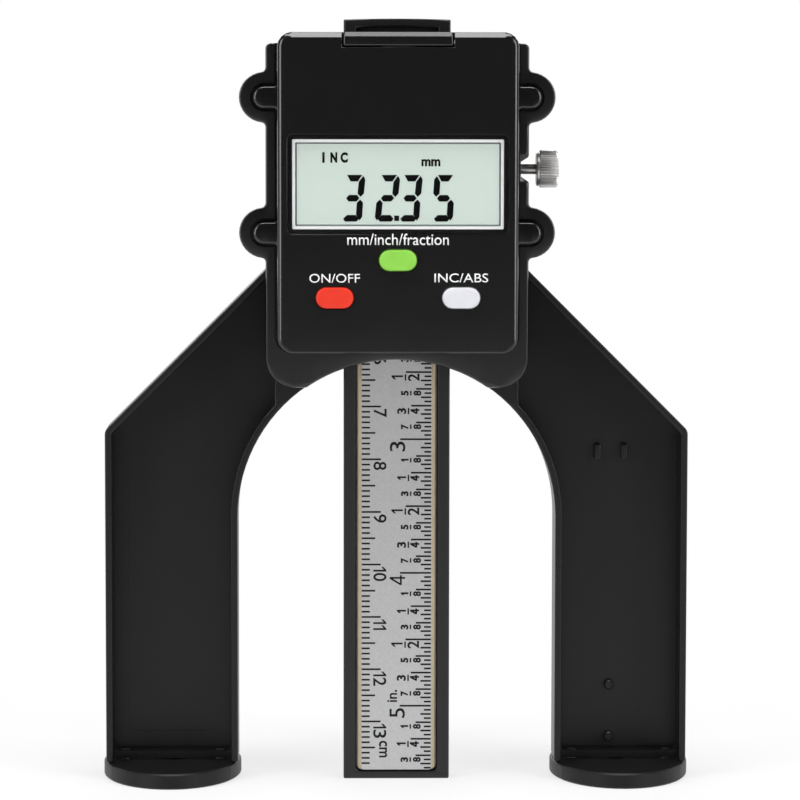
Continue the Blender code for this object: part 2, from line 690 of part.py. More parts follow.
def gusset_rib(word, side):
    """The rib behind one leg that stiffens it over the foot's rear half."""
    middle = side * FOOT_MIDDLE
    low = FRAME_BOTTOM
    shape = bmesh.new()
    profile = [
        (WEB_FRONT + WEB_THICKNESS / 2, low),
        (FRAME_BACK + GUSSET_REACH, low),
        (FRAME_BACK + GUSSET_REACH, low + GUSSET_THICKNESS),
        (FRAME_BACK, low + GUSSET_HEIGHT),
        (WEB_FRONT + WEB_THICKNESS / 2, low + GUSSET_HEIGHT),
    ]
    verts = [shape.verts.new((middle - GUSSET_THICKNESS / 2, y, z)) for y, z in profile]
    swept = bmesh.ops.extrude_face_region(shape, geom=[shape.faces.new(verts)])
    moved = [item for item in swept["geom"] if isinstance(item, bmesh.types.BMVert)]
    bmesh.ops.translate(shape, vec=(GUSSET_THICKNESS, 0.0, 0.0), verts=moved)
    return make_object(f"add {word} gusset", shape)


def lock_bore():
    """Stepped bore through the right rail: shoe, screw and insert."""
    shoe_end = CHANNEL_HALF_WIDTH + GAP + SHOE_LENGTH + GAP
    insert_start = HEAD_HALF_WIDTH - INSERT_LENGTH - GAP
    shoe_bore = SHOE_RADIUS + SCREW_CLEARANCE
    shaft_bore = LOCK_SHAFT_RADIUS + SCREW_CLEARANCE
    insert_bore = INSERT_RADIUS + SCREW_CLEARANCE
    profile = [
        (CHANNEL_HALF_WIDTH - OVERRUN, shoe_bore),
        (shoe_end, shoe_bore),
        (shoe_end, shaft_bore),
        (insert_start, shaft_bore),
        (insert_start, insert_bore),
        (HEAD_HALF_WIDTH + OVERRUN, insert_bore),
    ]
    return turn("cut lock bore", profile, (1.0, 0.0, 0.0), (0.0, 0.0, LOCK_HEIGHT), steps=SMALL_STEPS)


def plate_outline():
    """The carrier plate: four ears, the lock screw's notch and the arch below."""
    half = PLATE_WIDTH / 2
    notch = half - NOTCH_DEPTH
    notch_low = LOCK_HEIGHT - NOTCH_HEIGHT / 2
    notch_high = LOCK_HEIGHT + NOTCH_HEIGHT / 2
    reach = math.sqrt(ARCH_RADIUS**2 - (PLATE_BOTTOM - ARCH_CENTRE_HEIGHT) ** 2)
    corner = min(PLATE_BOTTOM_CORNER, half - reach - 3 * PLATE_EDGE)
    low_corner = arc_points(
        (half - corner, PLATE_BOTTOM + corner),
        corner,
        -90,
        0,
        SMALL_STEPS // 2,
    )
    top_corner = arc_points(
        (half - PLATE_TOP_CORNER, PLATE_TOP - PLATE_TOP_CORNER), PLATE_TOP_CORNER, 0, 90, CORNER_STEPS
    )
    lower_ear = ear_points(half, EAR_RADIUS, EAR_LOWER_HEIGHT)
    upper_ear = ear_points(half, EAR_RADIUS, EAR_UPPER_HEIGHT)
    slot = [
        (half, notch_low - NOTCH_CHAMFER),
        (notch, notch_low),
        (notch, notch_high),
        (half, notch_high),
    ]
    right = low_corner + lower_ear + slot + upper_ear + top_corner
    left = mirrored(low_corner + lower_ear + upper_ear + top_corner)
    spring = math.degrees(math.acos(reach / ARCH_RADIUS))
    arch = arc_points((0.0, ARCH_CENTRE_HEIGHT), ARCH_RADIUS, 180 - spring, spring, ROUND_STEPS)
    return right + left + arch


def make_plate():
    plate = extrude(
        "carrier_plate", plate_outline(), PLATE_FRONT, PLATE_BACK, "black plastic", PLATE_EDGE
    )
    window = extrude(
        "cut plate window",
        rectangle(
            BOARD_WIDTH + 2 * GAP, BOARD_BOTTOM - GAP, BOARD_TOP + GAP, BOARD_CORNER + GAP
        ),
        PLATE_FRONT - OVERRUN,
        PLATE_BACK + OVERRUN,
    )
    cut(plate, window)
    for side, word in ((-1, "left"), (1, "right")):
        for where, height in zip(("lower", "upper"), EAR_HEIGHTS):
            hole = rod(
                f"cut plate hole {where} {word}",
                EAR_SCREW_RADIUS + SCREW_CLEARANCE,
                PLATE_FRONT - OVERRUN,
                PLATE_BACK + OVERRUN,
                (0.0, 1.0, 0.0),
                (side * EAR_HALF_SPACING, 0.0, height),
                steps=SMALL_STEPS,
            )
            cut(plate, hole)
    return plate


def lug(name, side, height):
    """Tongue from the housing's side over one ear, flared where it meets the wall."""
    half = LUG_WIDTH / 2
    wall = HOUSING_WIDTH / 2
    inside = wall - HOUSING_WALL
    root = wall + LUG_FLARE
    tip = arc_points((EAR_HALF_SPACING, height), half, -90, 90, SMALL_STEPS // 2)
    upper = arc_points((root, height + half + LUG_FLARE), LUG_FLARE, 270, 180, CORNER_STEPS)
    lower = arc_points((root, height - half - LUG_FLARE), LUG_FLARE, 180, 90, CORNER_STEPS)
    low, high = (height + end * (half + LUG_FLARE) for end in (-1, 1))
    outline = lower + tip + upper + [(inside, high), (inside, low)]
    outline = outline if side > 0 else mirrored(outline)
    return extrude(name, outline, HOUSING_BACK - LUG_THICKNESS, HOUSING_BACK, edge=LUG_EDGE)


def make_housing():
    housing = extrude(
        "front_housing",
        rectangle(HOUSING_WIDTH, HOUSING_BOTTOM, HOUSING_TOP, HOUSING_CORNER),
        HOUSING_FRONT,
        HOUSING_BACK,
        "black plastic",
        HOUSING_EDGE,
        EDGE_STEPS,
        smooth=True,
    )
    cavity = extrude(
        "cut housing cavity",
        rectangle(
            HOUSING_WIDTH - 2 * HOUSING_WALL,
            HOUSING_BOTTOM + HOUSING_WALL,
            HOUSING_TOP - HOUSING_WALL,
            HOUSING_CORNER - HOUSING_WALL,
        ),
        HOUSING_INNER,
        HOUSING_BACK + OVERRUN,
    )
    cut(housing, cavity)
    for side, word in ((-1, "left"), (1, "right")):
        for where, height in zip(("lower", "upper"), EAR_HEIGHTS):
            join(housing, lug(f"add lug {where} {word}", side, height))
        for where, height in zip(("lower", "upper"), BOSS_HEIGHTS):
            boss = rod(
                f"add boss {where} {word}",
                BOSS_RADIUS,
                HOUSING_INNER - HOUSING_WALL / 2,
                BOARD_FRONT - GAP,
                (0.0, 1.0, 0.0),
                (side * BOSS_HALF_SPACING, 0.0, height),
                steps=SMALL_STEPS,
            )
            join(housing, boss)
    for side, word in ((-1, "left"), (1, "right")):
        inner = side * (DRAWER_HALF_WIDTH + GAP)
        outer = inner + side * DRAWER_GUIDE
        guide = block(
            f"add {word} drawer guide",
            (min(inner, outer), DRAWER_FRONT, DRAWER_BOTTOM),
            (max(inner, outer), DRAWER_BACK, HOUSING_TOP - HOUSING_WALL / 2),
        )
        join(housing, guide)
    stop_width = 2 * (DRAWER_HALF_WIDTH + GAP + DRAWER_GUIDE)
    stop = block(
        "add drawer stop",
        (-stop_width / 2, DRAWER_FRONT, DRAWER_BOTTOM - GAP - DRAWER_GUIDE),
        (stop_width / 2, DRAWER_BACK, DRAWER_BOTTOM - GAP),
    )
    join(housing, stop)
    bridge_left = block(
        "add stop arm left",
        (-stop_width / 2, DRAWER_FRONT, DRAWER_BOTTOM - GAP - DRAWER_GUIDE / 2),
        (-stop_width / 2 + DRAWER_GUIDE, DRAWER_BACK, DRAWER_BOTTOM + DRAWER_GUIDE),
    )
    bridge_right = block(
        "add stop arm right",
        (stop_width / 2 - DRAWER_GUIDE, DRAWER_FRONT, DRAWER_BOTTOM - GAP - DRAWER_GUIDE / 2),
        (stop_width / 2, DRAWER_BACK, DRAWER_BOTTOM + DRAWER_GUIDE),
    )
    join(housing, bridge_left, bridge_right)
    cut_display(housing)
    cut_drawer_slot(housing)
    for name, (x, z) in BUTTON_PLACES.items():
        hole = extrude(
            f"cut {name} hole",
            pill(BUTTON_WIDTH + 2 * BUTTON_CLEARANCE, BUTTON_HEIGHT + 2 * BUTTON_CLEARANCE, x, z),
            HOUSING_FRONT - OVERRUN,
            HOUSING_INNER + OVERRUN,
        )
        cut(housing, hole)
    cut_screw_holes(housing)
    return housing


def cut_display(housing):
    half_recess = WINDOW_RECESS_HEIGHT / 2
    half_opening = OPENING_HEIGHT / 2
    recess = extrude(
        "cut window recess",
        rectangle(
            WINDOW_RECESS_WIDTH, DISPLAY_HEIGHT - half_recess, DISPLAY_HEIGHT + half_recess, WINDOW_CORNER
        ),
        HOUSING_FRONT - OVERRUN,
        WINDOW_FLOOR,
    )
    opening = extrude(
        "cut display opening",
        rectangle(OPENING_WIDTH, DISPLAY_HEIGHT - half_opening, DISPLAY_HEIGHT + half_opening, OPENING_CORNER),
        HOUSING_FRONT - OVERRUN,
        HOUSING_INNER + GAP,
    )
    cut(housing, recess, opening)


def cut_drawer_slot(housing):
    slot_half = DRAWER_HALF_WIDTH + GAP
    slot = block(
        "cut drawer slot",
        (-slot_half, DRAWER_FRONT - GAP, HOUSING_TOP - HOUSING_WALL - GAP),
        (slot_half, DRAWER_BACK + GAP, HOUSING_TOP + OVERRUN),
    )
    lip_half = DRAWER_LIP_WIDTH / 2 + GAP
    notch = block(
        "cut drawer lip notch",
        (-lip_half, HOUSING_FRONT - OVERRUN, HOUSING_TOP - DRAWER_LIP_HEIGHT - GAP),
        (lip_half, DRAWER_FRONT, HOUSING_TOP + OVERRUN),
    )
    cut(housing, slot, notch)


def cut_screw_holes(housing):
    for side, word in ((-1, "left"), (1, "right")):
        for where, height in zip(("lower", "upper"), BOSS_HEIGHTS):
            hole = rod(
                f"cut boss hole {where} {word}",
                BOARD_SCREW_RADIUS + SCREW_CLEARANCE,
                BOARD_FRONT - BOARD_SCREW_LENGTH,
                BOARD_FRONT + OVERRUN,
                (0.0, 1.0, 0.0),
                (side * BOSS_HALF_SPACING, 0.0, height),
                steps=SMALL_STEPS // 2,
            )
            cut(housing, hole)
        for where, height in zip(("lower", "upper"), EAR_HEIGHTS):
            hole = rod(
                f"cut lug hole {where} {word}",
                EAR_SCREW_RADIUS + SCREW_CLEARANCE,
                HOUSING_BACK - LUG_THICKNESS + LUG_EDGE,
                HOUSING_BACK + OVERRUN,
                (0.0, 1.0, 0.0),
                (side * EAR_HALF_SPACING, 0.0, height),
                steps=SMALL_STEPS,
            )
            cut(housing, hole)


def make_display():
    half_window = WINDOW_RECESS_HEIGHT / 2 - THIN_GAP
    extrude(
        "display_window",
        rectangle(
            WINDOW_RECESS_WIDTH - 2 * THIN_GAP,
            DISPLAY_HEIGHT - half_window,
            DISPLAY_HEIGHT + half_window,
            WINDOW_CORNER - THIN_GAP,
        ),
        WINDOW_FLOOR - THIN_GAP - WINDOW_THICKNESS,
        WINDOW_FLOOR - THIN_GAP,
        "glossy clear",
    )
    half_frame = LCD_FRAME_HEIGHT / 2
    ring = extrude(
        "lcd_frame",
        rectangle(LCD_FRAME_WIDTH, DISPLAY_HEIGHT - half_frame, DISPLAY_HEIGHT + half_frame, LCD_CORNER),
        LCD_FRAME_FRONT,
        LCD_FRAME_BACK,
        "white plastic",
    )
    half_flange = half_frame + LCD_FRAME_FLANGE
    flange = extrude(
        "add lcd flange",
        rectangle(
            LCD_FRAME_WIDTH + 2 * LCD_FRAME_FLANGE,
            DISPLAY_HEIGHT - half_flange,
            DISPLAY_HEIGHT + half_flange,
            LCD_CORNER,
        ),
        HOUSING_INNER + GAP,
        LCD_FRAME_BACK - THIN_GAP,
    )
    half_hole = LCD_HEIGHT / 2 + THIN_GAP
    hole = extrude(
        "cut lcd hole",
        rectangle(LCD_WIDTH + 2 * THIN_GAP, DISPLAY_HEIGHT - half_hole, DISPLAY_HEIGHT + half_hole, LCD_CORNER),
        LCD_FRAME_FRONT - OVERRUN,
        LCD_FRAME_BACK + OVERRUN,
    )
    join(ring, flange)
    cut(ring, hole)
    half_cell = LCD_HEIGHT / 2
    extrude(
        "lcd_cell",
        rectangle(LCD_WIDTH, DISPLAY_HEIGHT - half_cell, DISPLAY_HEIGHT + half_cell, LCD_CORNER),
        LCD_FRONT,
        LCD_BACK,
        "display glass",
    )
    low = DISPLAY_HEIGHT - half_cell + ZEBRA_EDGE_MARGIN
    half_length = LCD_WIDTH / 2 - ZEBRA_END_MARGIN
    block(
        "zebra_connector",
        (-half_length, LCD_BACK + GAP, low),
        (half_length, BOARD_FRONT - GAP, low + ZEBRA_THICKNESS),
        "grey elastomer",
    )


def make_button(name, finish):
    x, z = BUTTON_PLACES[name]
    button = extrude(
        f"button_{name}",
        pill(BUTTON_WIDTH, BUTTON_HEIGHT, x, z),
        HOUSING_FRONT - BUTTON_PROUD,
        HOUSING_INNER + GAP + BUTTON_FLANGE_THICKNESS / 2,
        finish,
        BUTTON_EDGE,
        smooth=True,
    )
    flange = extrude(
        f"add {name} flange",
        pill(BUTTON_WIDTH + 2 * BUTTON_FLANGE, BUTTON_HEIGHT + 2 * BUTTON_FLANGE, x, z),
        HOUSING_INNER + GAP,
        HOUSING_INNER + GAP + BUTTON_FLANGE_THICKNESS,
    )
    stem = rod(
        f"add {name} stem",
        BUTTON_STEM_RADIUS,
        HOUSING_INNER + GAP + BUTTON_FLANGE_THICKNESS / 2,
        STEM_TIP,
        (0.0, 1.0, 0.0),
        (x, 0.0, z),
        steps=SMALL_STEPS,
    )
    join(button, flange, stem)
    place_origin(button, (x, HOUSING_FRONT, z))


def make_switch(name):
    x, z = BUTTON_PLACES[name]
    half = SWITCH_SIZE / 2
    body_front = BOARD_FRONT - GAP - SWITCH_BODY
    body = block(
        f"switch_{name}",
        (x - half, body_front, z - half),
        (x + half, BOARD_FRONT - GAP, z + half),
        "chip epoxy",
    )
    plunger = rod(
        f"add {name} plunger",
        SWITCH_PLUNGER_RADIUS,
        SWITCH_TIP,
        body_front + SWITCH_BODY / 2,
        (0.0, 1.0, 0.0),
        (x, 0.0, z),
        steps=SMALL_STEPS,
    )
    join(body, plunger)


def make_board():
    board = extrude(
        "main_board",
        rectangle(BOARD_WIDTH, BOARD_BOTTOM, BOARD_TOP, BOARD_CORNER),
        BOARD_FRONT,
        BOARD_BACK,
        "green board",
    )
    number = 0
    for height in BOSS_HEIGHTS:
        for side in (-1, 1):
            number += 1
            place = (side * BOSS_HALF_SPACING, 0.0, height)
            hole = rod(
                f"cut board hole {number}",
                BOARD_SCREW_RADIUS + SCREW_CLEARANCE,
                BOARD_FRONT - OVERRUN,
                BOARD_BACK + OVERRUN,
                (0.0, 1.0, 0.0),
                place,
                steps=SMALL_STEPS,
            )
            cut(board, hole)
            head_front = BOARD_BACK + THIN_GAP
            profile = [
                (BOARD_FRONT - BOARD_SCREW_LENGTH + GAP, BOARD_SCREW_RADIUS),
                (head_front, BOARD_SCREW_RADIUS),
                (head_front, BOARD_SCREW_HEAD_RADIUS),
                (head_front + BOARD_SCREW_HEAD, BOARD_SCREW_HEAD_RADIUS),
            ]
            turn(f"board_screw_{number}", profile, (0.0, 1.0, 0.0), place, "zinc screw", SMALL_STEPS)
    chip_middle = DISPLAY_HEIGHT + CHIP_RISE
    half = CHIP_SIZE / 2
    block(
        "controller_chip",
        (-half, BOARD_FRONT - GAP - CHIP_THICKNESS, chip_middle - half),
        (half, BOARD_FRONT - GAP, chip_middle + half),
        "chip epoxy",
    )


def make_drawer():
    drawer = extrude(
        "battery_drawer",
        rectangle(2 * DRAWER_HALF_WIDTH, DRAWER_BOTTOM, HOUSING_TOP, DRAWER_CORNER),
        DRAWER_FRONT,
        DRAWER_BACK,
        "black plastic",
    )
    lip_low = HOUSING_TOP - DRAWER_LIP_HEIGHT
    lip = extrude(
        "add drawer lip",
        rectangle(DRAWER_LIP_WIDTH, lip_low, HOUSING_TOP, DRAWER_CORNER),
        HOUSING_FRONT - DRAWER_LIP_PROUD,
        DRAWER_FRONT + DRAWER_FLOOR,
        edge=DRAWER_LIP_EDGE,
        edge_steps=EDGE_STEPS,
    )
    pocket = rod(
        "cut cell pocket",
        CELL_RADIUS + THIN_GAP,
        DRAWER_FRONT - GAP,
        DRAWER_BACK - DRAWER_FLOOR,
        (0.0, 1.0, 0.0),
        (0.0, 0.0, CELL_HEIGHT),
        steps=FINE_STEPS,
    )
    hole = rod(
        "cut contact hole",
        DRAWER_HOLE_RADIUS,
        DRAWER_BACK - DRAWER_FLOOR - GAP,
        DRAWER_BACK + OVERRUN,
        (0.0, 1.0, 0.0),
        (0.0, 0.0, CELL_HEIGHT),
    )
    join(drawer, lip)
    cut(drawer, pocket, hole)
    place_origin(drawer, (0.0, DRAWER_FRONT, DRAWER_BOTTOM))
    front = DRAWER_FRONT
    profile = [
        (front, CELL_RADIUS - CELL_EDGE),
        (front + CELL_EDGE, CELL_RADIUS),
        (front + CELL_THICKNESS, CELL_RADIUS),
    ]
    turn(
        "coin_cell", profile, (0.0, 1.0, 0.0), (0.0, 0.0, CELL_HEIGHT), "brushed steel", FINE_STEPS
    )


def make_contact(name, x):
    """A bent leaf from the board to the cell through the drawer's hole."""
    tip = DRAWER_BACK + GAP
    foot = BOARD_FRONT - GAP
    low = CELL_HEIGHT - CONTACT_LENGTH / 2
    high = CELL_HEIGHT + CONTACT_LENGTH / 2
    thin = CONTACT_THICKNESS
    profile = [
        (foot, low),
        (foot, low + CONTACT_WIDTH / 2),
        (tip + thin, high - CONTACT_WIDTH / 2),
        (tip + thin, high),
        (tip, high),
        (tip, high - CONTACT_WIDTH / 2 - thin),
        (foot - thin, low + CONTACT_WIDTH / 2 - thin),
        (foot - thin, low),
    ]
    shape = bmesh.new()
    verts = [shape.verts.new((x - CONTACT_WIDTH / 2, y, z)) for y, z in profile]
    swept = bmesh.ops.extrude_face_region(shape, geom=[shape.faces.new(verts)])
    moved = [item for item in swept["geom"] if isinstance(item, bmesh.types.BMVert)]
    bmesh.ops.translate(shape, vec=(CONTACT_WIDTH, 0.0, 0.0), verts=moved)
    make_object(name, shape, "nickel")


def make_bar():
    bar_half = BAR_WIDTH / 2
    bar_side = BAR_LENGTH - BAR_TOP_ARCH
    bar_ends = [(-bar_half, bar_side, 0.0), (-bar_half, 0.0, BAR_EDGE), (bar_half, 0.0, BAR_EDGE)]
    bar_outline = round_corners(bar_ends + [(bar_half, bar_side, 0.0)], TINY_STEPS)
    bar_outline += arched_edge(bar_half, bar_side, BAR_TOP_ARCH)
    bar = extrude("slider_bar", bar_outline, BAR_FRONT, BAR_BACK, "black bar", BAR_EDGE)
    recess_front = BAR_FRONT - OVERRUN
    recess_floor = BAR_FRONT + RECESS_DEPTH
    half = RECESS_WIDTH / 2
    side_top = BAR_LENGTH - RECESS_END - RECESS_TOP_ARCH
    ends = [(-half, side_top, 0.0), (-half, RECESS_END, RECESS_CORNER), (half, RECESS_END, RECESS_CORNER)]
    outline = round_corners(ends + [(half, side_top, 0.0)])
    outline += arched_edge(half, side_top, RECESS_TOP_ARCH)
    cut(bar, extrude("cut bar recess", outline, recess_front, recess_floor))
    place_origin(bar, (0.0, 0.0, 0.0))
    strip_back = recess_floor - THIN_GAP
    strip_front = strip_back - STRIP_THICKNESS
    strip_top = BAR_LENGTH - STRIP_TOP_MARGIN
    extrude(
        "grid_scale_strip",
        rectangle(STRIP_WIDTH, RECESS_END + GAP, strip_top, STRIP_CORNER),
        strip_front,
        strip_back,
        "circuit strip",
    )
    rule_back = strip_front - THIN_GAP
    extrude(
        "steel_rule",
        rectangle(RULE_WIDTH, RECESS_END + GAP, strip_top, RULE_CORNER, steps=TINY_STEPS),
        rule_back - RULE_THICKNESS,
        rule_back,
        "brushed steel",
    )


def knurled_ring(name, radius, start, end):
    """Straight-knurled drum: each tooth has a crest and a root round the rim."""
    steps = KNURL_STEPS * KNURL_COUNT
    shape = bmesh.new()
    inner_start = start + KNOB_EDGE
    inner_end = end - KNOB_EDGE
    rings = []
    for along, shrink in ((start, KNOB_EDGE), (inner_start, 0.0), (inner_end, 0.0), (end, KNOB_EDGE)):
        ring = []
        for step in range(steps):
            crest = step % KNURL_STEPS in KNURL_CREST_STEPS
            reach = radius - (0.0 if crest else KNURL_DEPTH) - shrink
            angle = 2 * math.pi * step / steps
            ring.append(shape.verts.new((along, reach * math.cos(angle), reach * math.sin(angle))))
        rings.append(ring)
    for lower, upper in zip(rings, rings[1:]):
        for step in range(steps):
            following = (step + 1) % steps
            shape.faces.new((lower[step], lower[following], upper[following], upper[step]))
    shape.faces.new(rings[0])
    shape.faces.new(rings[-1])
    bmesh.ops.translate(shape, vec=(0.0, 0.0, LOCK_HEIGHT), verts=shape.verts)
    return make_object(name, shape, "nickel")


def make_lock():
    axis = (1.0, 0.0, 0.0)
    origin = (0.0, 0.0, LOCK_HEIGHT)
    shoe_start = CHANNEL_HALF_WIDTH - BAR_CLEARANCE + GAP
    shoe_end = shoe_start + SHOE_LENGTH
    shoe = rod("pressure_shoe", SHOE_RADIUS, shoe_start, shoe_end, axis, origin, "brass", SMALL_STEPS)
    place_origin(shoe, origin)
    screw = knurled_ring("lock_screw", KNOB_RADIUS, KNOB_START, KNOB_START + KNOB_LENGTH)
    shaft = rod(
        "add lock shaft",
        LOCK_SHAFT_RADIUS,
        shoe_end + GAP,
        KNOB_START + KNOB_LENGTH / 2,
        axis,
        origin,
        steps=SMALL_STEPS,
    )
    join(screw, shaft)
    place_origin(screw, origin)
    insert_start = HEAD_HALF_WIDTH - INSERT_LENGTH
    insert = rod(
        "lock_insert", INSERT_RADIUS, insert_start, HEAD_HALF_WIDTH, axis, origin, "brass", SMALL_STEPS
    )
    bore = rod(
        "cut insert bore",
        LOCK_SHAFT_RADIUS + THIN_GAP,
        insert_start - OVERRUN,
        HEAD_HALF_WIDTH + OVERRUN,
        axis,
        origin,
        steps=SMALL_STEPS,
    )
    cut(insert, bore)


def make_ear_screws():
    number = 0
    for height in EAR_HEIGHTS:
        for side in (-1, 1):
            number += 1
            head_front = FRAME_BACK - EAR_SCREW_SINK + THIN_GAP
            profile = [
                (HOUSING_BACK - LUG_THICKNESS + LUG_EDGE + GAP, EAR_SCREW_RADIUS),
                (head_front, EAR_SCREW_RADIUS),
                (head_front, EAR_SCREW_HEAD_RADIUS),
                (head_front + EAR_SCREW_HEAD, EAR_SCREW_HEAD_RADIUS),
            ]
            place = (side * EAR_HALF_SPACING, 0.0, height)
            turn(f"ear_screw_{number}", profile, (0.0, 1.0, 0.0), place, "zinc screw", SMALL_STEPS)


def foot_shape(name, middle):
    """Oval sole plate with a small round on both rims."""
    profile = ((0.0, FOOT_EDGE), (FOOT_EDGE, 0.0), (FOOT_THICKNESS - FOOT_EDGE, 0.0), (FOOT_THICKNESS, FOOT_EDGE))
    shape = bmesh.new()
    rings = []
    for height, shrink in profile:
        ring = []
        for step in range(FINE_STEPS):
            angle = 2 * math.pi * step / FINE_STEPS
            x = middle + (FOOT_HALF_WIDTH - shrink) * math.cos(angle)
            y = FOOT_BEHIND_BAR + (FOOT_HALF_DEPTH - shrink) * math.sin(angle)
            ring.append(shape.verts.new((x, y, height)))
        rings.append(ring)
    for lower, upper in zip(rings, rings[1:]):
        for step in range(FINE_STEPS):
            following = (step + 1) % FINE_STEPS
            shape.faces.new((lower[step], lower[following], upper[following], upper[step]))
    shape.faces.new(rings[0])
    shape.faces.new(rings[-1])
    return make_object(name, shape, "black plastic", smooth=True)


def make_foot(word, side):
    middle = side * FOOT_MIDDLE
    up = (0.0, 0.0, 1.0)
    foot = foot_shape(f"{word}_foot_base", middle)
    for end, where in ((-1, "front"), (1, "rear")):
        place = (middle, FOOT_BEHIND_BAR + end * MAGNET_OFFSET, 0.0)
        pocket_top = MAGNET_THICKNESS + 2 * THIN_GAP
        pocket = rod(
            f"cut {word} {where} magnet pocket", MAGNET_RADIUS + THIN_GAP, -OVERRUN, pocket_top, up, place
        )
        cut(foot, pocket)
        rod(
            f"{word}_{where}_magnet",
            MAGNET_RADIUS,
            THIN_GAP,
            THIN_GAP + MAGNET_THICKNESS,
            up,
            place,
            "nickel",
        )
    for end, number in ((-1, 1), (1, 2)):
        place = (middle + end * FOOT_SCREW_OFFSET, FOOT_SCREW_PLACE, 0.0)
        hole = rod(
            f"cut {word} foot hole {number}",
            FOOT_SCREW_RADIUS + SCREW_CLEARANCE,
            -OVERRUN,
            FOOT_THICKNESS + OVERRUN,
            up,
            place,
            steps=SMALL_STEPS,
        )
        sink_top = THIN_GAP + FOOT_SCREW_HEAD + THIN_GAP
        sink = rod(
            f"cut {word} foot sink {number}",
            FOOT_SCREW_HEAD_RADIUS + SCREW_CLEARANCE,
            -OVERRUN,
            sink_top,
            up,
            place,
            steps=SMALL_STEPS,
        )
        cut(foot, hole, sink)
        profile = [
            (THIN_GAP, FOOT_SCREW_HEAD_RADIUS),
            (THIN_GAP + FOOT_SCREW_HEAD, FOOT_SCREW_HEAD_RADIUS),
            (THIN_GAP + FOOT_SCREW_HEAD, FOOT_SCREW_RADIUS),
            (FRAME_BOTTOM + LEG_FLOOR_THICKNESS, FOOT_SCREW_RADIUS),
        ]
        turn(f"{word}_foot_screw_{number}", profile, up, place, "zinc screw", SMALL_STEPS)


def main():
    clear_scene()
    make_frame()
    make_plate()
    make_housing()
    make_display()
    for name, finish in (("units", "green button"), ("power", "red button"), ("datum", "white button")):
        make_button(name, finish)
        make_switch(name)
    make_board()
    make_drawer()
    make_contact("cell_contact_plus", CONTACT_SPACING)
    make_contact("cell_contact_minus", -CONTACT_SPACING)
    make_bar()
    make_lock()
    make_ear_screws()
    make_foot("left", -1)
    make_foot("right", 1)


main()
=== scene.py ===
import json
import math

import bmesh
import bpy
from bpy.props import FloatProperty, FloatVectorProperty, IntProperty, PointerProperty, StringProperty
from mathutils import Matrix, Vector


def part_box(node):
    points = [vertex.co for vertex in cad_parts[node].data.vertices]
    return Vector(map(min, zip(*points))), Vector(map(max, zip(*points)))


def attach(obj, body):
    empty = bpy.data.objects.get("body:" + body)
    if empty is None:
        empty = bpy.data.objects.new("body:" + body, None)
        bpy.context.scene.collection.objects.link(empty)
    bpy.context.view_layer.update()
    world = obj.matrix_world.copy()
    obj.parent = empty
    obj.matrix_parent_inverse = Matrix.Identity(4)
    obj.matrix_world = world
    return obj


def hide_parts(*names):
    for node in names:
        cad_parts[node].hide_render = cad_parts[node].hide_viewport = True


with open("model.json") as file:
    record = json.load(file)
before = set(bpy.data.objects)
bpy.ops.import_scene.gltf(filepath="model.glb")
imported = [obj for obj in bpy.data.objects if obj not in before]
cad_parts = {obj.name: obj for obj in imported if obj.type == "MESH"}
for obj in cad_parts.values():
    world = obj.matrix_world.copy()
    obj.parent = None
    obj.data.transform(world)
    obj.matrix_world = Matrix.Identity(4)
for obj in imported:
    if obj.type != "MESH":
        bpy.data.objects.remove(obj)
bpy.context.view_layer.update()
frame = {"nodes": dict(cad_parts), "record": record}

bl_info = {
    "name": "Digital Depth Gauge",
    "version": (1, 0, 0),
    "blender": (4, 5, 0),
    "location": "View3D > Sidebar > Depth Gauge",
    "description": "Dresses the frame of a digital depth gauge: mouldings, rule, display, keys and stage",
    "category": "Object",
}

MM = 0.001

# How near two places count as one, and how near two corners have to be to be merged
WELD = 0.02 * MM
MERGE_DISTANCE = 0.001 * MM

# Printed layers: how far they lie off a solid or off the display glass, and how thick they are
PRINT_LIFT = 0.01 * MM
GLASS_LIFT = 0.03 * MM
PRINT_THICKNESS = 0.02 * MM

# Angles in degrees: facets flatter than the first are joined, and edges past the others are shaded sharp
FLAT_ANGLE = 0.5
SHARP_ANGLE = 44.0
KNOB_SHARP_ANGLE = 30.0

# Radii that both faces beside an edge have to reach for the edge to be rounded
ROOM_IN_RADII = 2.1


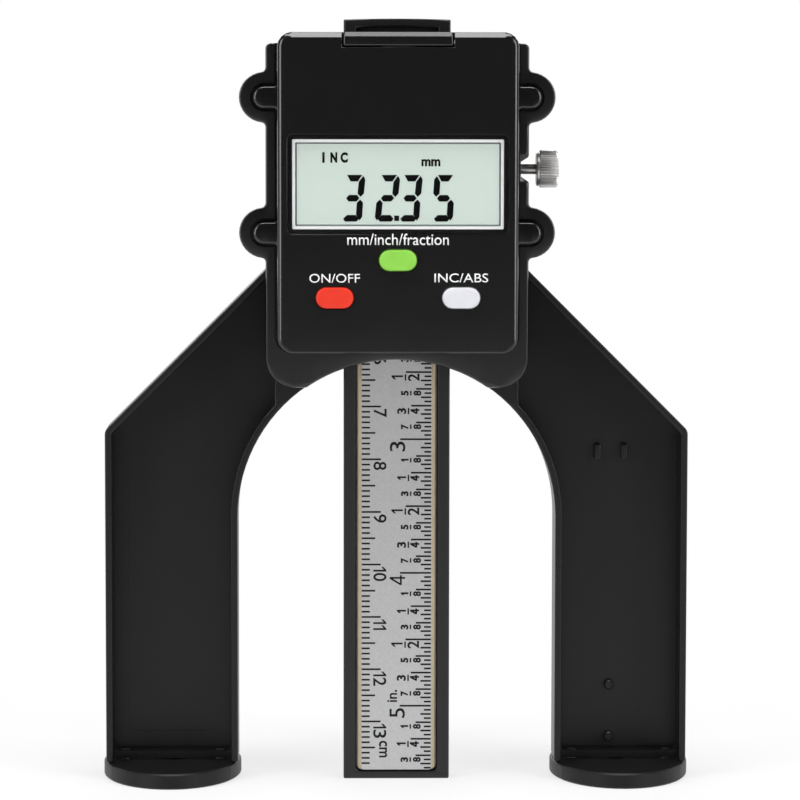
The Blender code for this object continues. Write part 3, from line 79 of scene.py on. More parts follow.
class MouldingSettings(bpy.types.PropertyGroup):
    """Edges and moulded details of the pieces."""

    frame_edge: FloatProperty(
        name="Frame edge", description="Edge radius of the bridge frame", default=0.00028, unit="LENGTH")
    plate_rounding: FloatProperty(
        name="Plate rounding", description="Rounding of the plate's front outline in the frame",
        default=0.00035, unit="LENGTH")
    plate_edge: FloatProperty(
        name="Plate edge", description="Rounding of the plate's front outline", default=0.0005, unit="LENGTH")
    housing_edge: FloatProperty(
        name="Housing edge", description="Radius of the housing's window, key and slot edges",
        default=0.00010, unit="LENGTH")
    housing_rounding: FloatProperty(
        name="Housing rounding", description="Rounding of the housing's front outline in the frame",
        default=0.0010, unit="LENGTH")
    foot_share: FloatProperty(
        name="Foot share", description="Share of that rounding along the housing's foot", default=0.3)
    housing_corner: FloatProperty(
        name="Housing corner", description="Radius of the housing's corners in the frame",
        default=0.0025, unit="LENGTH")
    lug_front: FloatProperty(
        name="Lug front", description="Where the lugs' front faces lie", default=-0.0083, unit="LENGTH")
    lug_rounding: FloatProperty(
        name="Lug rounding", description="Rounding of the lugs' outlines in the frame", default=0.0003,
        unit="LENGTH")
    lug_edge: FloatProperty(
        name="Lug edge", description="Rounding of the lugs' outlines", default=0.0005, unit="LENGTH")
    moat_width: FloatProperty(
        name="Moat width", description="Width of the plate's groove round the housing", default=0.00060,
        unit="LENGTH")
    moat_depth: FloatProperty(
        name="Moat depth", description="Depth of the plate's groove round the housing", default=0.0012,
        unit="LENGTH")
    lip_rounding: FloatProperty(
        name="Lip rounding", description="Rounding of the drawer's lip in the frame",
        default=0.0003, unit="LENGTH")
    lip_ridge: FloatProperty(
        name="Lip ridge", description="Height of the slope along the lip's top",
        default=0.0008, unit="LENGTH")
    drawer_edge: FloatProperty(
        name="Drawer edge", description="Edge radius of the battery drawer's lip",
        default=0.00022, unit="LENGTH")
    sole_edge: FloatProperty(
        name="Sole edge", description="Edge radius of the oval soles", default=0.00012, unit="LENGTH")
    bar_edge: FloatProperty(
        name="Bar edge", description="Edge radius of the measuring bar", default=0.00018, unit="LENGTH")
    key_edge: FloatProperty(
        name="Key edge", description="Edge radius of the three keys", default=0.00045, unit="LENGTH")
    knob_start: FloatProperty(
        name="Knob start", description="Where the lock screw's knob begins", default=0.0262, unit="LENGTH")
    knob_teeth: IntProperty(name="Knob teeth", description="Teeth round the knob", default=44)
    screw_edge: FloatProperty(
        name="Screw edge", description="Edge radius of the lock screw's shank", default=0.0001, unit="LENGTH")


class RuleSettings(bpy.types.PropertyGroup):
    """Sizes of the rule's printed scales."""

    zero_height: FloatProperty(
        name="Zero height", description="Height of both scales' zero over the measuring face",
        default=0.14094, unit="LENGTH")
    line_width: FloatProperty(
        name="Line width", description="Width of a printed line", default=0.00033, unit="LENGTH")
    millimetre_line: FloatProperty(
        name="1 mm line", description="Length of a millimetre line", default=0.00155, unit="LENGTH")
    half_line: FloatProperty(
        name="5 mm line", description="Length of a 5 mm line", default=0.00256, unit="LENGTH")
    centimetre_line: FloatProperty(
        name="10 mm line", description="Length of a centimetre line", default=0.0036, unit="LENGTH")
    inch_line: FloatProperty(
        name="1 inch line", description="Length of an inch line", default=0.00588, unit="LENGTH")
    figure_height: FloatProperty(
        name="Centimetre figures", description="Height of the centimetre figures",
        default=0.00248, unit="LENGTH")
    inch_figure_height: FloatProperty(
        name="Inch figures", description="Height of the inch figures", default=0.00292, unit="LENGTH")
    figure_stroke: FloatProperty(
        name="Figure stroke", description="Width of the figures' strokes", default=0.00034, unit="LENGTH")


class DisplaySettings(bpy.types.PropertyGroup):
    """What the display shows, and its digits' sizes."""

    reading: StringProperty(name="Reading", description="Figures on the display", default="32.35")
    mode_word: StringProperty(name="Mode", description="Word at the upper left", default="INC")
    unit_word: StringProperty(name="Unit", description="Word at the upper right", default="mm")
    digit_height: FloatProperty(
        name="Digit height", description="Height of a digit", default=0.0086, unit="LENGTH")
    # Painted shadow of the white frame on the display: a grey line set in from the display's edge
    seal_inset: FloatProperty(
        name="Frame shadow inset", description="Display edge to the painted frame shadow", default=0.00005, unit="LENGTH")
    seal_width: FloatProperty(
        name="Frame shadow width", description="Width of the painted frame shadow", default=0.00016, unit="LENGTH")
    lean: FloatProperty(
        name="Lean", description="Sideways lean of the digits for each unit of height", default=0.085)


class FinishSettings(bpy.types.PropertyGroup):
    """Colours of the finishes, as linear values."""

    plastic: FloatVectorProperty(
        name="Plastic", description="Black moulded plastic", subtype="COLOR",
        default=(0.0058, 0.0058, 0.0060))
    bar: FloatVectorProperty(
        name="Bar", description="Black coated metal of the bar", subtype="COLOR",
        default=(0.0085, 0.0085, 0.0088))
    rule: FloatVectorProperty(
        name="Rule", description="Satin steel of the rule", subtype="COLOR", default=(0.64, 0.64, 0.645))
    strip: FloatVectorProperty(
        name="Strip", description="Laminate of the grid strip", subtype="COLOR", default=(0.65, 0.53, 0.365))
    strip_edge: FloatProperty(
        name="Strip edge", description="Width of the strip's grey-green edge", default=0.00030, unit="LENGTH")
    glass: FloatVectorProperty(
        name="Display", description="Reflective back of the display", subtype="COLOR",
        default=(0.605, 0.703, 0.645))
    green: FloatVectorProperty(
        name="Units key", description="Green key", subtype="COLOR", default=(0.255, 0.615, 0.074))
    red: FloatVectorProperty(
        name="Power key", description="Red key", subtype="COLOR", default=(0.76, 0.035, 0.015))
    white: FloatVectorProperty(
        name="Datum key", description="White key", subtype="COLOR", default=(0.685, 0.69, 0.725))
    nickel: FloatVectorProperty(
        name="Nickel", description="Plating of the lock screw", subtype="COLOR", default=(0.56, 0.55, 0.545))


class StageSettings(bpy.types.PropertyGroup):
    """Camera and lights."""

    azimuth: FloatProperty(
        name="Azimuth", description="Camera's turn round the gauge", subtype="ANGLE",
        default=math.radians(-1.03))
    elevation: FloatProperty(
        name="Elevation", description="Camera's height angle", subtype="ANGLE", default=math.radians(5.0))
    roll: FloatProperty(
        name="Roll", description="Camera's roll", subtype="ANGLE", default=math.radians(0.085))
    distance: FloatProperty(
        name="Distance", description="Camera to the rule's middle", default=0.7239, unit="LENGTH")
    lens: FloatProperty(name="Lens", description="Focal length in millimetres", default=172.9)
    target: FloatVectorProperty(
        name="Target", description="Point the camera looks at", subtype="TRANSLATION",
        default=(0.00062, -0.0027, 0.07217))
    top_power: FloatProperty(
        name="Top light", description="Power of the overhead light in watts", default=3.2)
    side_power: FloatProperty(
        name="Side lights", description="Power of each side light in watts", default=2.6)
    back_power: FloatProperty(
        name="Back light", description="Power of the light behind in watts", default=1.3)
    ambient: FloatProperty(name="Ambient", description="Strength of the surrounding light", default=0.15)
    dark_side: FloatProperty(
        name="Dark side", description="Brightness that gloss sees in front of the gauge", default=0.03)
    table_end: FloatProperty(
        name="Table end", description="Where the pale floor ends in gloss", default=-0.45, unit="LENGTH")


class GaugeSettings(bpy.types.PropertyGroup):
    """All settings of the depth gauge."""

    moulding: PointerProperty(type=MouldingSettings)
    rule: PointerProperty(type=RuleSettings)
    display: PointerProperty(type=DisplaySettings)
    finish: PointerProperty(type=FinishSettings)
    stage: PointerProperty(type=StageSettings)


def settings():
    """The scene's depth gauge settings."""
    return bpy.context.scene.depth_gauge


def colour_of(name):
    """A colour among the finish settings."""
    return tuple(getattr(settings().finish, name))


# Node trees

def add_node(tree, kind, inputs=None, **attributes):
    """Adds a node, sets its attributes and sets or links its inputs."""
    made = tree.nodes.new(kind)
    for name, value in attributes.items():
        setattr(made, name, value)
    for name, value in (inputs or {}).items():
        if isinstance(value, bpy.types.NodeSocket):
            tree.links.new(value, made.inputs[name])
        else:
            made.inputs[name].default_value = value
    return made


def start_material(name):
    """A new material: its tree, its Principled shader and the object coordinates."""
    material = bpy.data.materials.new(name)
    material.use_nodes = True
    tree = material.node_tree
    tree.nodes.clear()
    output = tree.nodes.new("ShaderNodeOutputMaterial")
    shader = tree.nodes.new("ShaderNodeBsdfPrincipled")
    tree.links.new(shader.outputs["BSDF"], output.inputs["Surface"])
    place = tree.nodes.new("ShaderNodeTexCoord").outputs["Object"]
    return material, tree, shader, place


def noise(tree, place, size, detail=2.0, stretch=(1, 1, 1)):
    """Noise whose patches are about size metres wide, narrowed by stretch."""
    spread = add_node(tree, "ShaderNodeMapping", {"Vector": place, "Scale": stretch})
    made = add_node(tree, "ShaderNodeTexNoise", {
        "Vector": spread.outputs["Vector"], "Scale": 1 / size, "Detail": detail, "Roughness": 0.55})
    return made.outputs["Fac"]


def spread_values(tree, value, low, high):
    """Maps noise from its usual range to low..high."""
    made = add_node(tree, "ShaderNodeMapRange", {
        "Value": value, "From Min": 0.2, "From Max": 0.8, "To Min": low, "To Max": high})
    return made.outputs["Result"]


def blend_colours(tree, factor, first, second):
    """Mixes two colours by a factor, each a socket or an RGB triple."""
    made = add_node(tree, "ShaderNodeMix", data_type="RGBA")
    for socket, value in ((made.inputs[0], factor), (made.inputs[6], first), (made.inputs[7], second)):
        if isinstance(value, bpy.types.NodeSocket):
            tree.links.new(value, socket)
        else:
            socket.default_value = value if isinstance(value, float) else (*value, 1)
    return made.outputs[2]


def shaded(colour, factor):
    """The colour lighter or darker by a factor."""
    return tuple(min(channel * factor, 1.0) for channel in colour)


def mottle(tree, value, colour, low, high):
    """The colour made uneven by noise, from its shade at low to its shade at high."""
    return blend_colours(tree, spread_values(tree, value, 0.0, 1.0),
                         shaded(colour, low), shaded(colour, high))


def set_shader(tree, shader, **inputs):
    """Sets or links the Principled shader's inputs by short names."""
    names = {"colour": "Base Color", "roughness": "Roughness", "metallic": "Metallic",
             "specular": "Specular IOR Level", "normal": "Normal", "coat": "Coat Weight",
             "coat_roughness": "Coat Roughness", "transmission": "Transmission Weight", "ior": "IOR",
             "subsurface": "Subsurface Weight", "subsurface_scale": "Subsurface Scale"}
    for name, value in inputs.items():
        socket = shader.inputs[names[name]]
        if isinstance(value, bpy.types.NodeSocket):
            tree.links.new(value, socket)
        else:
            socket.default_value = (*value, 1) if isinstance(value, tuple) else value


def grain_normal(tree, height, depth):
    """A normal with a grain of that depth in metres."""
    made = add_node(tree, "ShaderNodeBump", {"Height": height, "Distance": depth, "Strength": 1.0})
    return made.outputs["Normal"]


# Finishes

def moulded_plastic(name, colour, roughness, specular, grain=0.22 * MM):
    """Black plastic from a spark-eroded mould: fine grain, and faint flow marks in its gloss."""
    material, tree, shader, place = start_material(name)
    flow = noise(tree, place, 14 * MM, 2)
    fine = noise(tree, place, grain, 3)
    body = blend_colours(tree, flow, shaded(colour, 0.92), shaded(colour, 1.08))
    speckled = blend_colours(tree, spread_values(tree, fine, 0.0, 0.5), body, shaded(colour, 1.35))
    set_shader(tree, shader, colour=speckled, specular=specular,
               roughness=spread_values(tree, flow, roughness - 0.015, roughness + 0.015),
               normal=grain_normal(tree, fine, 0.004 * MM))
    return material


def brushed_metal(name, colour, roughness, stretch=(1, 1, 1), grain=0.25 * MM, contrast=0.06):
    """Metal with a fine grain, drawn out along the axis whose stretch is small."""
    material, tree, shader, place = start_material(name)
    fine = noise(tree, place, grain, 4, stretch)
    cloud = noise(tree, place, 12 * MM, 2)
    tone = mottle(tree, fine, colour, 1 - contrast, 1 + contrast)
    cloudy = blend_colours(tree, spread_values(tree, cloud, 0.0, 0.12), tone, shaded(colour, 0.8))
    set_shader(tree, shader, colour=cloudy, metallic=1.0,
               roughness=spread_values(tree, fine, roughness - 0.05, roughness + 0.05),
               normal=grain_normal(tree, fine, 0.003 * MM))
    return material


def soft_rubber(name, colour):
    """Keys of dyed silicone: a satin skin with a soft depth."""
    material, tree, shader, place = start_material(name)
    fine = noise(tree, place, 0.12 * MM, 3)
    cloud = noise(tree, place, 2.5 * MM, 2)
    tone = mottle(tree, cloud, colour, 0.95, 1.04)
    set_shader(tree, shader, colour=tone, specular=0.35, subsurface=0.08, subsurface_scale=0.4 * MM,
               roughness=spread_values(tree, fine, 0.42, 0.52), normal=grain_normal(tree, fine, 0.002 * MM))
    return material


def printed_ink(name, colour, roughness=0.5, specular=0.4):
    """Screen-printed ink, a little uneven in cover."""
    material, tree, shader, place = start_material(name)
    cover = noise(tree, place, 0.15 * MM, 3)
    tone = mottle(tree, cover, colour, 0.92, 1.06)
    set_shader(tree, shader, colour=tone, specular=specular,
               roughness=spread_values(tree, cover, roughness - 0.06, roughness + 0.06))
    return material


def grid_laminate():
    """The grid strip: tan laminate with faint cross bars, and grey-green cut edges."""
    colour = colour_of("strip")
    material, tree, shader, place = start_material("circuit_strip_laminate")
    fine = noise(tree, place, 0.2 * MM, 3)
    weave = noise(tree, place, 0.5 * MM, 2, (3, 1, 0.4))
    bars = add_node(tree, "ShaderNodeTexWave", {"Vector": place, "Scale": 100.0, "Distortion": 0.0},
                    wave_type="BANDS", bands_direction="Z")
    face = mottle(tree, fine, colour, 0.90, 1.12)
    barred = blend_colours(tree, spread_values(tree, bars.outputs["Fac"], 0.0, 0.10),
                           face, shaded(colour, 0.55))
    split = add_node(tree, "ShaderNodeSeparateXYZ", {"Vector": place})
    side = add_node(tree, "ShaderNodeMath", {0: split.outputs["X"]}, operation="ABSOLUTE")
    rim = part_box("grid_scale_strip")[1][0] - settings().finish.strip_edge
    cut = add_node(tree, "ShaderNodeMapRange", {
        "Value": side.outputs[0], "From Min": rim, "From Max": rim + 0.06 * MM, "To Min": 0.0, "To Max": 1.0})
    edge = blend_colours(tree, spread_values(tree, weave, 0.0, 1.0), (0.10, 0.11, 0.085), (0.24, 0.23, 0.18))
    tone = blend_colours(tree, cut.outputs["Result"], barred, edge)
    set_shader(tree, shader, colour=tone, specular=0.4, normal=grain_normal(tree, fine, 0.004 * MM),
               roughness=spread_values(tree, fine, 0.40, 0.55))
    return material


def display_back():
    """The display's reflective polariser seen through its glass: pale grey-green."""
    colour = colour_of("glass")
    material, tree, shader, place = start_material("display_glass")
    fine = noise(tree, place, 0.10 * MM, 2)
    cloud = noise(tree, place, 6 * MM, 2)
    tone = mottle(tree, fine, colour, 0.985, 1.015)
    clouded = blend_colours(tree, spread_values(tree, cloud, 0.0, 0.05), tone, shaded(colour, 0.88))
    set_shader(tree, shader, colour=clouded, specular=0.5, coat=0.3, coat_roughness=0.05,
               roughness=spread_values(tree, fine, 0.30, 0.36))
    return material


def clear_pane():
    """The clear window: glass to the eye, and open to the light that falls through it."""
    material, tree, shader, place = start_material("window_acrylic")
    haze = noise(tree, place, 4 * MM, 2)
    set_shader(tree, shader, colour=(1.0, 1.0, 1.0), transmission=1.0, ior=1.49,
               roughness=spread_values(tree, haze, 0.0, 0.004))
    path = tree.nodes.new("ShaderNodeLightPath")
    through = add_node(tree, "ShaderNodeBsdfTransparent", {"Color": (1, 1, 1, 1)})
    light = add_node(tree, "ShaderNodeMath", {
        0: path.outputs["Is Shadow Ray"], 1: path.outputs["Is Diffuse Ray"]}, operation="MAXIMUM")
    mixed = add_node(tree, "ShaderNodeMixShader", {0: light.outputs[0]})
    tree.links.new(shader.outputs["BSDF"], mixed.inputs[1])
    tree.links.new(through.outputs["BSDF"], mixed.inputs[2])
    output = next(n for n in tree.nodes if n.type == "OUTPUT_MATERIAL")
    tree.links.new(mixed.outputs[0], output.inputs["Surface"])
    return material


def plain_solid(name, colour, roughness, contrast=0.08):
    """Small inner pieces: a fine mottle in colour and gloss."""
    material, tree, shader, place = start_material(name)
    fine = noise(tree, place, 0.2 * MM, 3)
    tone = mottle(tree, fine, colour, 1 - contrast, 1 + contrast)
    set_shader(tree, shader, colour=tone, specular=0.5,
               roughness=spread_values(tree, fine, roughness - 0.05, roughness + 0.05),
               normal=grain_normal(tree, fine, 0.002 * MM))
    return material


def board_laminate():
    """Green circuit board with copper tracks under its lacquer."""
    material, tree, shader, place = start_material("board_laminate")
    tracks = add_node(tree, "ShaderNodeTexBrick", {
        "Vector": add_node(tree, "ShaderNodeMapping", {
            "Vector": place, "Rotation": (math.pi / 2, 0, 0)}).outputs["Vector"],
        "Scale": 260.0, "Mortar Size": 0.03, "Mortar": (0.03, 0.20, 0.07, 1),
        "Color1": (0.012, 0.09, 0.035, 1), "Color2": (0.016, 0.12, 0.045, 1)})
    fine = noise(tree, place, 0.3 * MM, 3)
    set_shader(tree, shader, colour=tracks.outputs["Color"], coat=0.4, coat_roughness=0.15,
               roughness=spread_values(tree, fine, 0.35, 0.5))
    return material


FINISH_MAKERS = {
    "frame_plastic": lambda: moulded_plastic("frame_plastic", colour_of("plastic"), 0.36, 0.34),
    "sole_plastic": lambda: moulded_plastic("sole_plastic", colour_of("plastic"), 0.46, 0.26),
    "plate_plastic": lambda: moulded_plastic("plate_plastic", colour_of("plastic"), 0.28, 0.60),
    "housing_plastic": lambda: moulded_plastic("housing_plastic", colour_of("plastic"), 0.20, 0.64),
    "bar_coating": lambda: moulded_plastic("bar_coating", colour_of("bar"), 0.38, 0.45, grain=0.3 * MM),
    "rule_steel": lambda: brushed_metal(
        "rule_steel", colour_of("rule"), 0.42, grain=0.32 * MM, contrast=0.10),
    "circuit_strip": grid_laminate,
    "display_glass": display_back,
    "clear_window": clear_pane,
    "white_plastic": lambda: plain_solid("display_frame_white", (0.93, 0.94, 0.94), 0.4, contrast=0.02),
    "elastomer": lambda: plain_solid("contact_rubber", (0.18, 0.18, 0.19), 0.6),
    "button_green": lambda: soft_rubber("units_key_green", colour_of("green")),
    "button_red": lambda: soft_rubber("power_key_red", colour_of("red")),
    "button_white": lambda: soft_rubber("datum_key_white", colour_of("white")),
    "board_green": board_laminate,
    "chip_epoxy": lambda: plain_solid("chip_epoxy", (0.02, 0.02, 0.022), 0.5),
    "zinc_screw": lambda: brushed_metal("zinc_plate", (0.58, 0.58, 0.60), 0.30, grain=0.15 * MM),
    "cell_steel": lambda: brushed_metal("cell_steel", (0.66, 0.66, 0.67), 0.22, (1, 1, 0.1)),
    "nickel": lambda: brushed_metal("knob_nickel", colour_of("nickel"), 0.36, grain=0.12 * MM, contrast=0.14),
    "magnet_nickel": lambda: brushed_metal("magnet_nickel", (0.60, 0.60, 0.60), 0.18, grain=0.5 * MM),
    "brass": lambda: brushed_metal("turned_brass", (0.78, 0.57, 0.25), 0.25, (0.1, 1, 1)),
    "rule_ink": lambda: printed_ink("rule_ink", (0.006, 0.006, 0.0065), specular=0.2),
    "label_ink": lambda: printed_ink("label_ink", (0.86, 0.86, 0.86)),
    "segment_black": lambda: printed_ink("segment_black", (0.0012, 0.0012, 0.0015), 0.35, specular=0.1),
    # Painted shade: grey for the line that stands for the white frame's shadow along the display's edge
    "seal_grey": lambda: printed_ink("seal_grey", (0.10, 0.115, 0.11), 0.4),
    "mask_black": lambda: printed_ink("mask_black", (0.002, 0.002, 0.0022), 0.4, specular=0.2),
}

# Material slots of the frame whose finish has another name
SLOT_FINISHES = {"black_plastic": "frame_plastic", "bar_black": "bar_coating"}

FINISHES = {}


def finish(name):
    """The finish of that name, made once."""
    if name not in FINISHES:
        FINISHES[name] = FINISH_MAKERS[name]()
    return FINISHES[name]


# Pieces

# The trays inside the legs: where they begin and end to each side, and a height just over their floors
TRAY_INNER = 31.4 * MM
TRAY_OUTER = 53.6 * MM
TRAY_FLOOR_TOP = 7.0 * MM


def link_piece(name, mesh, finish_name, body, replaced=()):
    """Makes the mesh a finished piece on its body."""
    piece = bpy.data.objects.new(name, mesh)
    bpy.context.scene.collection.objects.link(piece)
    mesh.materials.clear()
    mesh.materials.append(finish(finish_name))
    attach(piece, body)
    if replaced:
        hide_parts(*replaced)
    return piece


def depth_beside(edge, face):
    """How far a face reaches from its edge."""
    start, end = (v.co for v in edge.verts)
    along = (end - start).normalized()
    return max((v.co - start - along * along.dot(v.co - start)).length for v in face.verts)


def on_tray_floor(edge):
    """Whether an edge lies on the low floor inside one of the frame's two legs."""
    middle = (edge.verts[0].co + edge.verts[1].co) / 2
    return middle.z < TRAY_FLOOR_TOP and TRAY_INNER < abs(middle.x) < TRAY_OUTER


def round_edges(work, edge_radius, segments, angle):
    """Bevels the sharp outer edges whose two faces have room for the radius."""
    sharp = [edge for edge in work.edges
             if edge.is_convex and edge.calc_face_angle(0) > math.radians(angle) and not on_tray_floor(edge)
             and min(depth_beside(edge, face) for face in edge.link_faces) > ROOM_IN_RADII * edge_radius]
    bmesh.ops.bevel(work, geom=sharp, offset=edge_radius, offset_type="OFFSET", affect="EDGES",
                    segments=segments, profile=0.5, material=-1, clamp_overlap=False, loop_slide=True)


def subtract(mesh, cutter_work):
    """The mesh less the cutters in a bmesh, which is freed."""
    cutter_mesh = bpy.data.meshes.new("cutter")
    cutter_work.to_mesh(cutter_mesh)
    cutter_work.free()
    holder = bpy.data.objects.new("holder", mesh)
    cutter = bpy.data.objects.new("cutter", cutter_mesh)
    for made in (holder, cutter):
        bpy.context.scene.collection.objects.link(made)
    cut = holder.modifiers.new("Cut", "BOOLEAN")
    cut.operation = "DIFFERENCE"
    cut.object = cutter
    cut.solver = "EXACT"
    cut.use_self = True
    bpy.context.view_layer.update()
    result = bpy.data.meshes.new_from_object(holder.evaluated_get(bpy.context.evaluated_depsgraph_get()))
    for made in (holder, cutter):
        bpy.data.objects.remove(made)
    bpy.data.meshes.remove(cutter_mesh)
    result.name = mesh.name
    return result


def soften(node, name, edge_radius, finish_name, body, segments=2, angle=32.0, pocketed=False,
           reshape=None, cutters=None):
    """A copy of a CAD node, merged and with its sharp edges rounded, that stands for it."""
    mesh = frame["nodes"][node].data.copy()
    mesh.name = name
    work = bmesh.new()
    work.from_mesh(mesh)
    bmesh.ops.remove_doubles(work, verts=work.verts, dist=MERGE_DISTANCE)
    bmesh.ops.dissolve_limit(work, angle_limit=math.radians(FLAT_ANGLE), verts=work.verts, edges=work.edges)
    if pocketed:
        bmesh.ops.connect_verts_concave(work, faces=work.faces)
    if reshape:
        reshape(work)
    round_edges(work, edge_radius, segments, angle)
    bmesh.ops.triangulate(work, faces=[face for face in work.faces if len(face.verts) > 4])
    work.to_mesh(mesh)
    work.free()
    if cutters:
        mesh = subtract(mesh, cutters())
    if mesh.has_custom_normals:
        mesh.attributes.remove(mesh.attributes["custom_normal"])
    mesh.shade_smooth()
    mesh.set_sharp_from_angle(angle=math.radians(SHARP_ANGLE))
    piece = link_piece(name, mesh, finish_name, body, (node,))
    flats = piece.modifiers.new("Flat faces stay flat", "WEIGHTED_NORMAL")
    flats.keep_sharp = True


def curve_mesh(curve):
    """The filled flat mesh of a curve or text, which is removed."""
    holder = bpy.data.objects.new("outline", curve)
    bpy.context.scene.collection.objects.link(holder)
    bpy.context.view_layer.update()
    mesh = bpy.data.meshes.new_from_object(holder.evaluated_get(bpy.context.evaluated_depsgraph_get()))
    bpy.data.objects.remove(holder)
    bpy.data.curves.remove(curve)
    return mesh


def place_flat(work, mesh, start, right, up):
    """Adds a flat mesh to a bmesh with its origin at start, and removes it."""
    turn = Matrix((right, up, right.cross(up))).transposed().to_4x4()
    mesh.transform(Matrix.Translation(start) @ turn)
    work.from_mesh(mesh)
    bpy.data.meshes.remove(mesh)


# Moulded details

# Half the housing's width without its lugs, the lugs' half height, and the heights of their middles
HOUSING_HALF = 22.3 * MM
LUG_HALF = 2.05 * MM
LUG_HEIGHTS = (103.8 * MM, 129.05 * MM)

# Half the width of the drawer's lip between its corners, and its slope's depth as a share of its height
LIP_HALF = 9.8 * MM
LIP_SLOPE_SHARE = 0.64


def add_block(work, low, high):
    """Adds a block between two corners."""
    made = bmesh.ops.create_cube(work, size=1.0)
    middle = [(a + b) / 2 for a, b in zip(low, high)]
    size = [b - a for a, b in zip(low, high)]
    place = Matrix.Translation(middle) @ Matrix.Diagonal((*size, 1))
    bmesh.ops.transform(work, verts=made["verts"], matrix=place)


def add_disc(work, x, z, radius, front, back):
    """Adds a disc that faces the front."""
    place = Matrix.Translation((x, (front + back) / 2, z)) @ Matrix.Rotation(math.pi / 2, 4, "X")
    bmesh.ops.create_cone(work, cap_ends=True, segments=48, radius1=radius, radius2=radius,
                          depth=back - front, matrix=place)


def moat_cutters():
    """Blocks and discs that cut the groove round the housing and its lugs into the plate."""
    sizes = settings().moulding
    low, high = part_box("front_housing")
    plate_low, plate_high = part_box("carrier_plate")
    front = plate_low[1] - MM
    back = plate_low[1] + sizes.moat_depth
    inner = HOUSING_HALF - sizes.housing_corner
    outer = HOUSING_HALF + sizes.moat_width
    radius = LUG_HALF + sizes.moat_width
    foot = low[2] + sizes.housing_corner
    work = bmesh.new()
    add_block(work, (-inner, front, low[2] - sizes.moat_width), (inner, back, foot + MM))
    for side in (-1, 1):
        near, far = sorted((side * (inner - MM), side * outer))
        add_block(work, (near, front, foot), (far, back, plate_high[2] + MM))
        add_disc(work, side * inner, foot, sizes.housing_corner + sizes.moat_width, front, back)
        middle = side * (high[0] - LUG_HALF)
        near, far = sorted((side * inner, middle))
        for height in LUG_HEIGHTS:
            add_block(work, (near, front, height - radius), (far, back, height + radius))
            add_disc(work, middle, height, radius, front, back)
    return work


def change_rounding(work, front, radius, wide, outward):
    """Gives a front outline's rounding another radius.

    wide(v) is a vertex's new radius, and outward(v) is its way out of the outline.
    """
    work.normal_update()

    def between(v):
        return WELD < v.co.y - front < radius - WELD

    chosen = [v for v in work.verts if v.co.y - front < radius + WELD and outward(v)
              and (between(v) or any(between(edge.other_vert(v)) for edge in v.link_edges))]
    moves = []
    for v in chosen:
        depth = max(v.co.y - front, 0)
        inset = radius - math.sqrt(max(radius ** 2 - (radius - depth) ** 2, 0))
        grown = wide(v) / radius - 1
        moves.append((v, Vector((0, depth * grown, 0)) - outward(v) * inset * grown))
    for v, move in moves:
        v.co += move


def out_of_lug(v):
    """The way out of a lug's outline, or nothing for a vertex that isn't on a lug's front."""
    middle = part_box("front_housing")[1][0] - LUG_HALF
    side = math.copysign(1, v.co.x)
    height = min(LUG_HEIGHTS, key=lambda z: abs(z - v.co.z))
    if abs(v.co.x) < HOUSING_HALF - WELD or v.co.y < settings().moulding.lug_front - WELD:
        return None
    across = max(abs(v.co.x) - middle, 0) * side
    return Vector((across, 0, v.co.z - height)).normalized()


def out_of_plate(v):
    """The way out of the plate's outline, or nothing on its front face."""
    way = Vector((v.normal.x, 0, v.normal.z))
    return way.normalized() if way.length else None


# The plate's notch for the lock screw: its heights, where it turns outwards, and how far its corners come in
NOTCH_HEIGHTS = (111.9 * MM, 118.6 * MM)
NOTCH_MIDDLE = 115.6 * MM
NOTCH_ROOT = 22.7 * MM
NOTCH_TURN = 23.6 * MM
NOTCH_TOP_DROP = 0.95 * MM
NOTCH_FOOT_RISE = 1.1 * MM


def narrow_notch(work):
    """Brings the notch's foot and the root of its top nearer to the lock screw."""
    for v in work.verts:
        if v.co.x < NOTCH_ROOT or not NOTCH_HEIGHTS[0] < v.co.z < NOTCH_HEIGHTS[1]:
            continue
        if v.co.z < NOTCH_MIDDLE:
            v.co.z += NOTCH_FOOT_RISE
        elif v.co.x < NOTCH_TURN:
            v.co.z -= NOTCH_TOP_DROP


def shape_plate(work):
    """Rounds the plate's outline more widely and narrows its notch."""
    sizes = settings().moulding
    change_rounding(work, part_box("carrier_plate")[0][1], sizes.plate_rounding, lambda v: sizes.plate_edge,
                    out_of_plate)
    narrow_notch(work)


def slope_edge(work, box, radius, rise, run, half_width):
    """Makes the rounding along a box's top front edge a flat slope, as wide as half_width to each side."""
    low, high = box
    middle_y = low[1] + radius
    middle_z = high[2] - radius
    for v in work.verts:
        if v.co.y < middle_y + WELD and v.co.z > middle_z - WELD and abs(v.co.x) < half_width + WELD:
            share = math.atan2(v.co.z - middle_z, middle_y - v.co.y) / (math.pi / 2)
            v.co.y = low[1] + share * run
            v.co.z = high[2] + (share - 1) * rise


def out_of_housing(v):
    """The way out of the housing's outline, or nothing for a vertex above its lower half."""
    low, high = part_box("front_housing")
    corner = settings().moulding.housing_corner
    if v.co.z > (low[2] + high[2]) / 2:
        return None
    across = max(abs(v.co.x) - (HOUSING_HALF - corner), 0) * math.copysign(1, v.co.x)
    down = min(v.co.z - (low[2] + corner), 0)
    way = Vector((across, 0, down))
    return way.normalized() if way.length > WELD else None


def edge_of_housing(v):
    """The housing's rounding at a vertex: small along the foot, growing round the corners to the sides."""
    sizes = settings().moulding
    return sizes.housing_rounding * (1 + (sizes.foot_share - 1) * max(-out_of_housing(v).z, 0))


def shape_housing(work):
    """Slopes the housing's top edge, rounds its lugs and tightens its foot."""
    sizes = settings().moulding
    radius = sizes.housing_rounding
    slope_edge(work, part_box("front_housing"), radius, radius, radius, HOUSING_HALF - sizes.housing_corner)
    change_rounding(work, sizes.lug_front, sizes.lug_rounding, lambda v: sizes.lug_edge, out_of_lug)
    change_rounding(work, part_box("front_housing")[0][1], radius, edge_of_housing, out_of_housing)


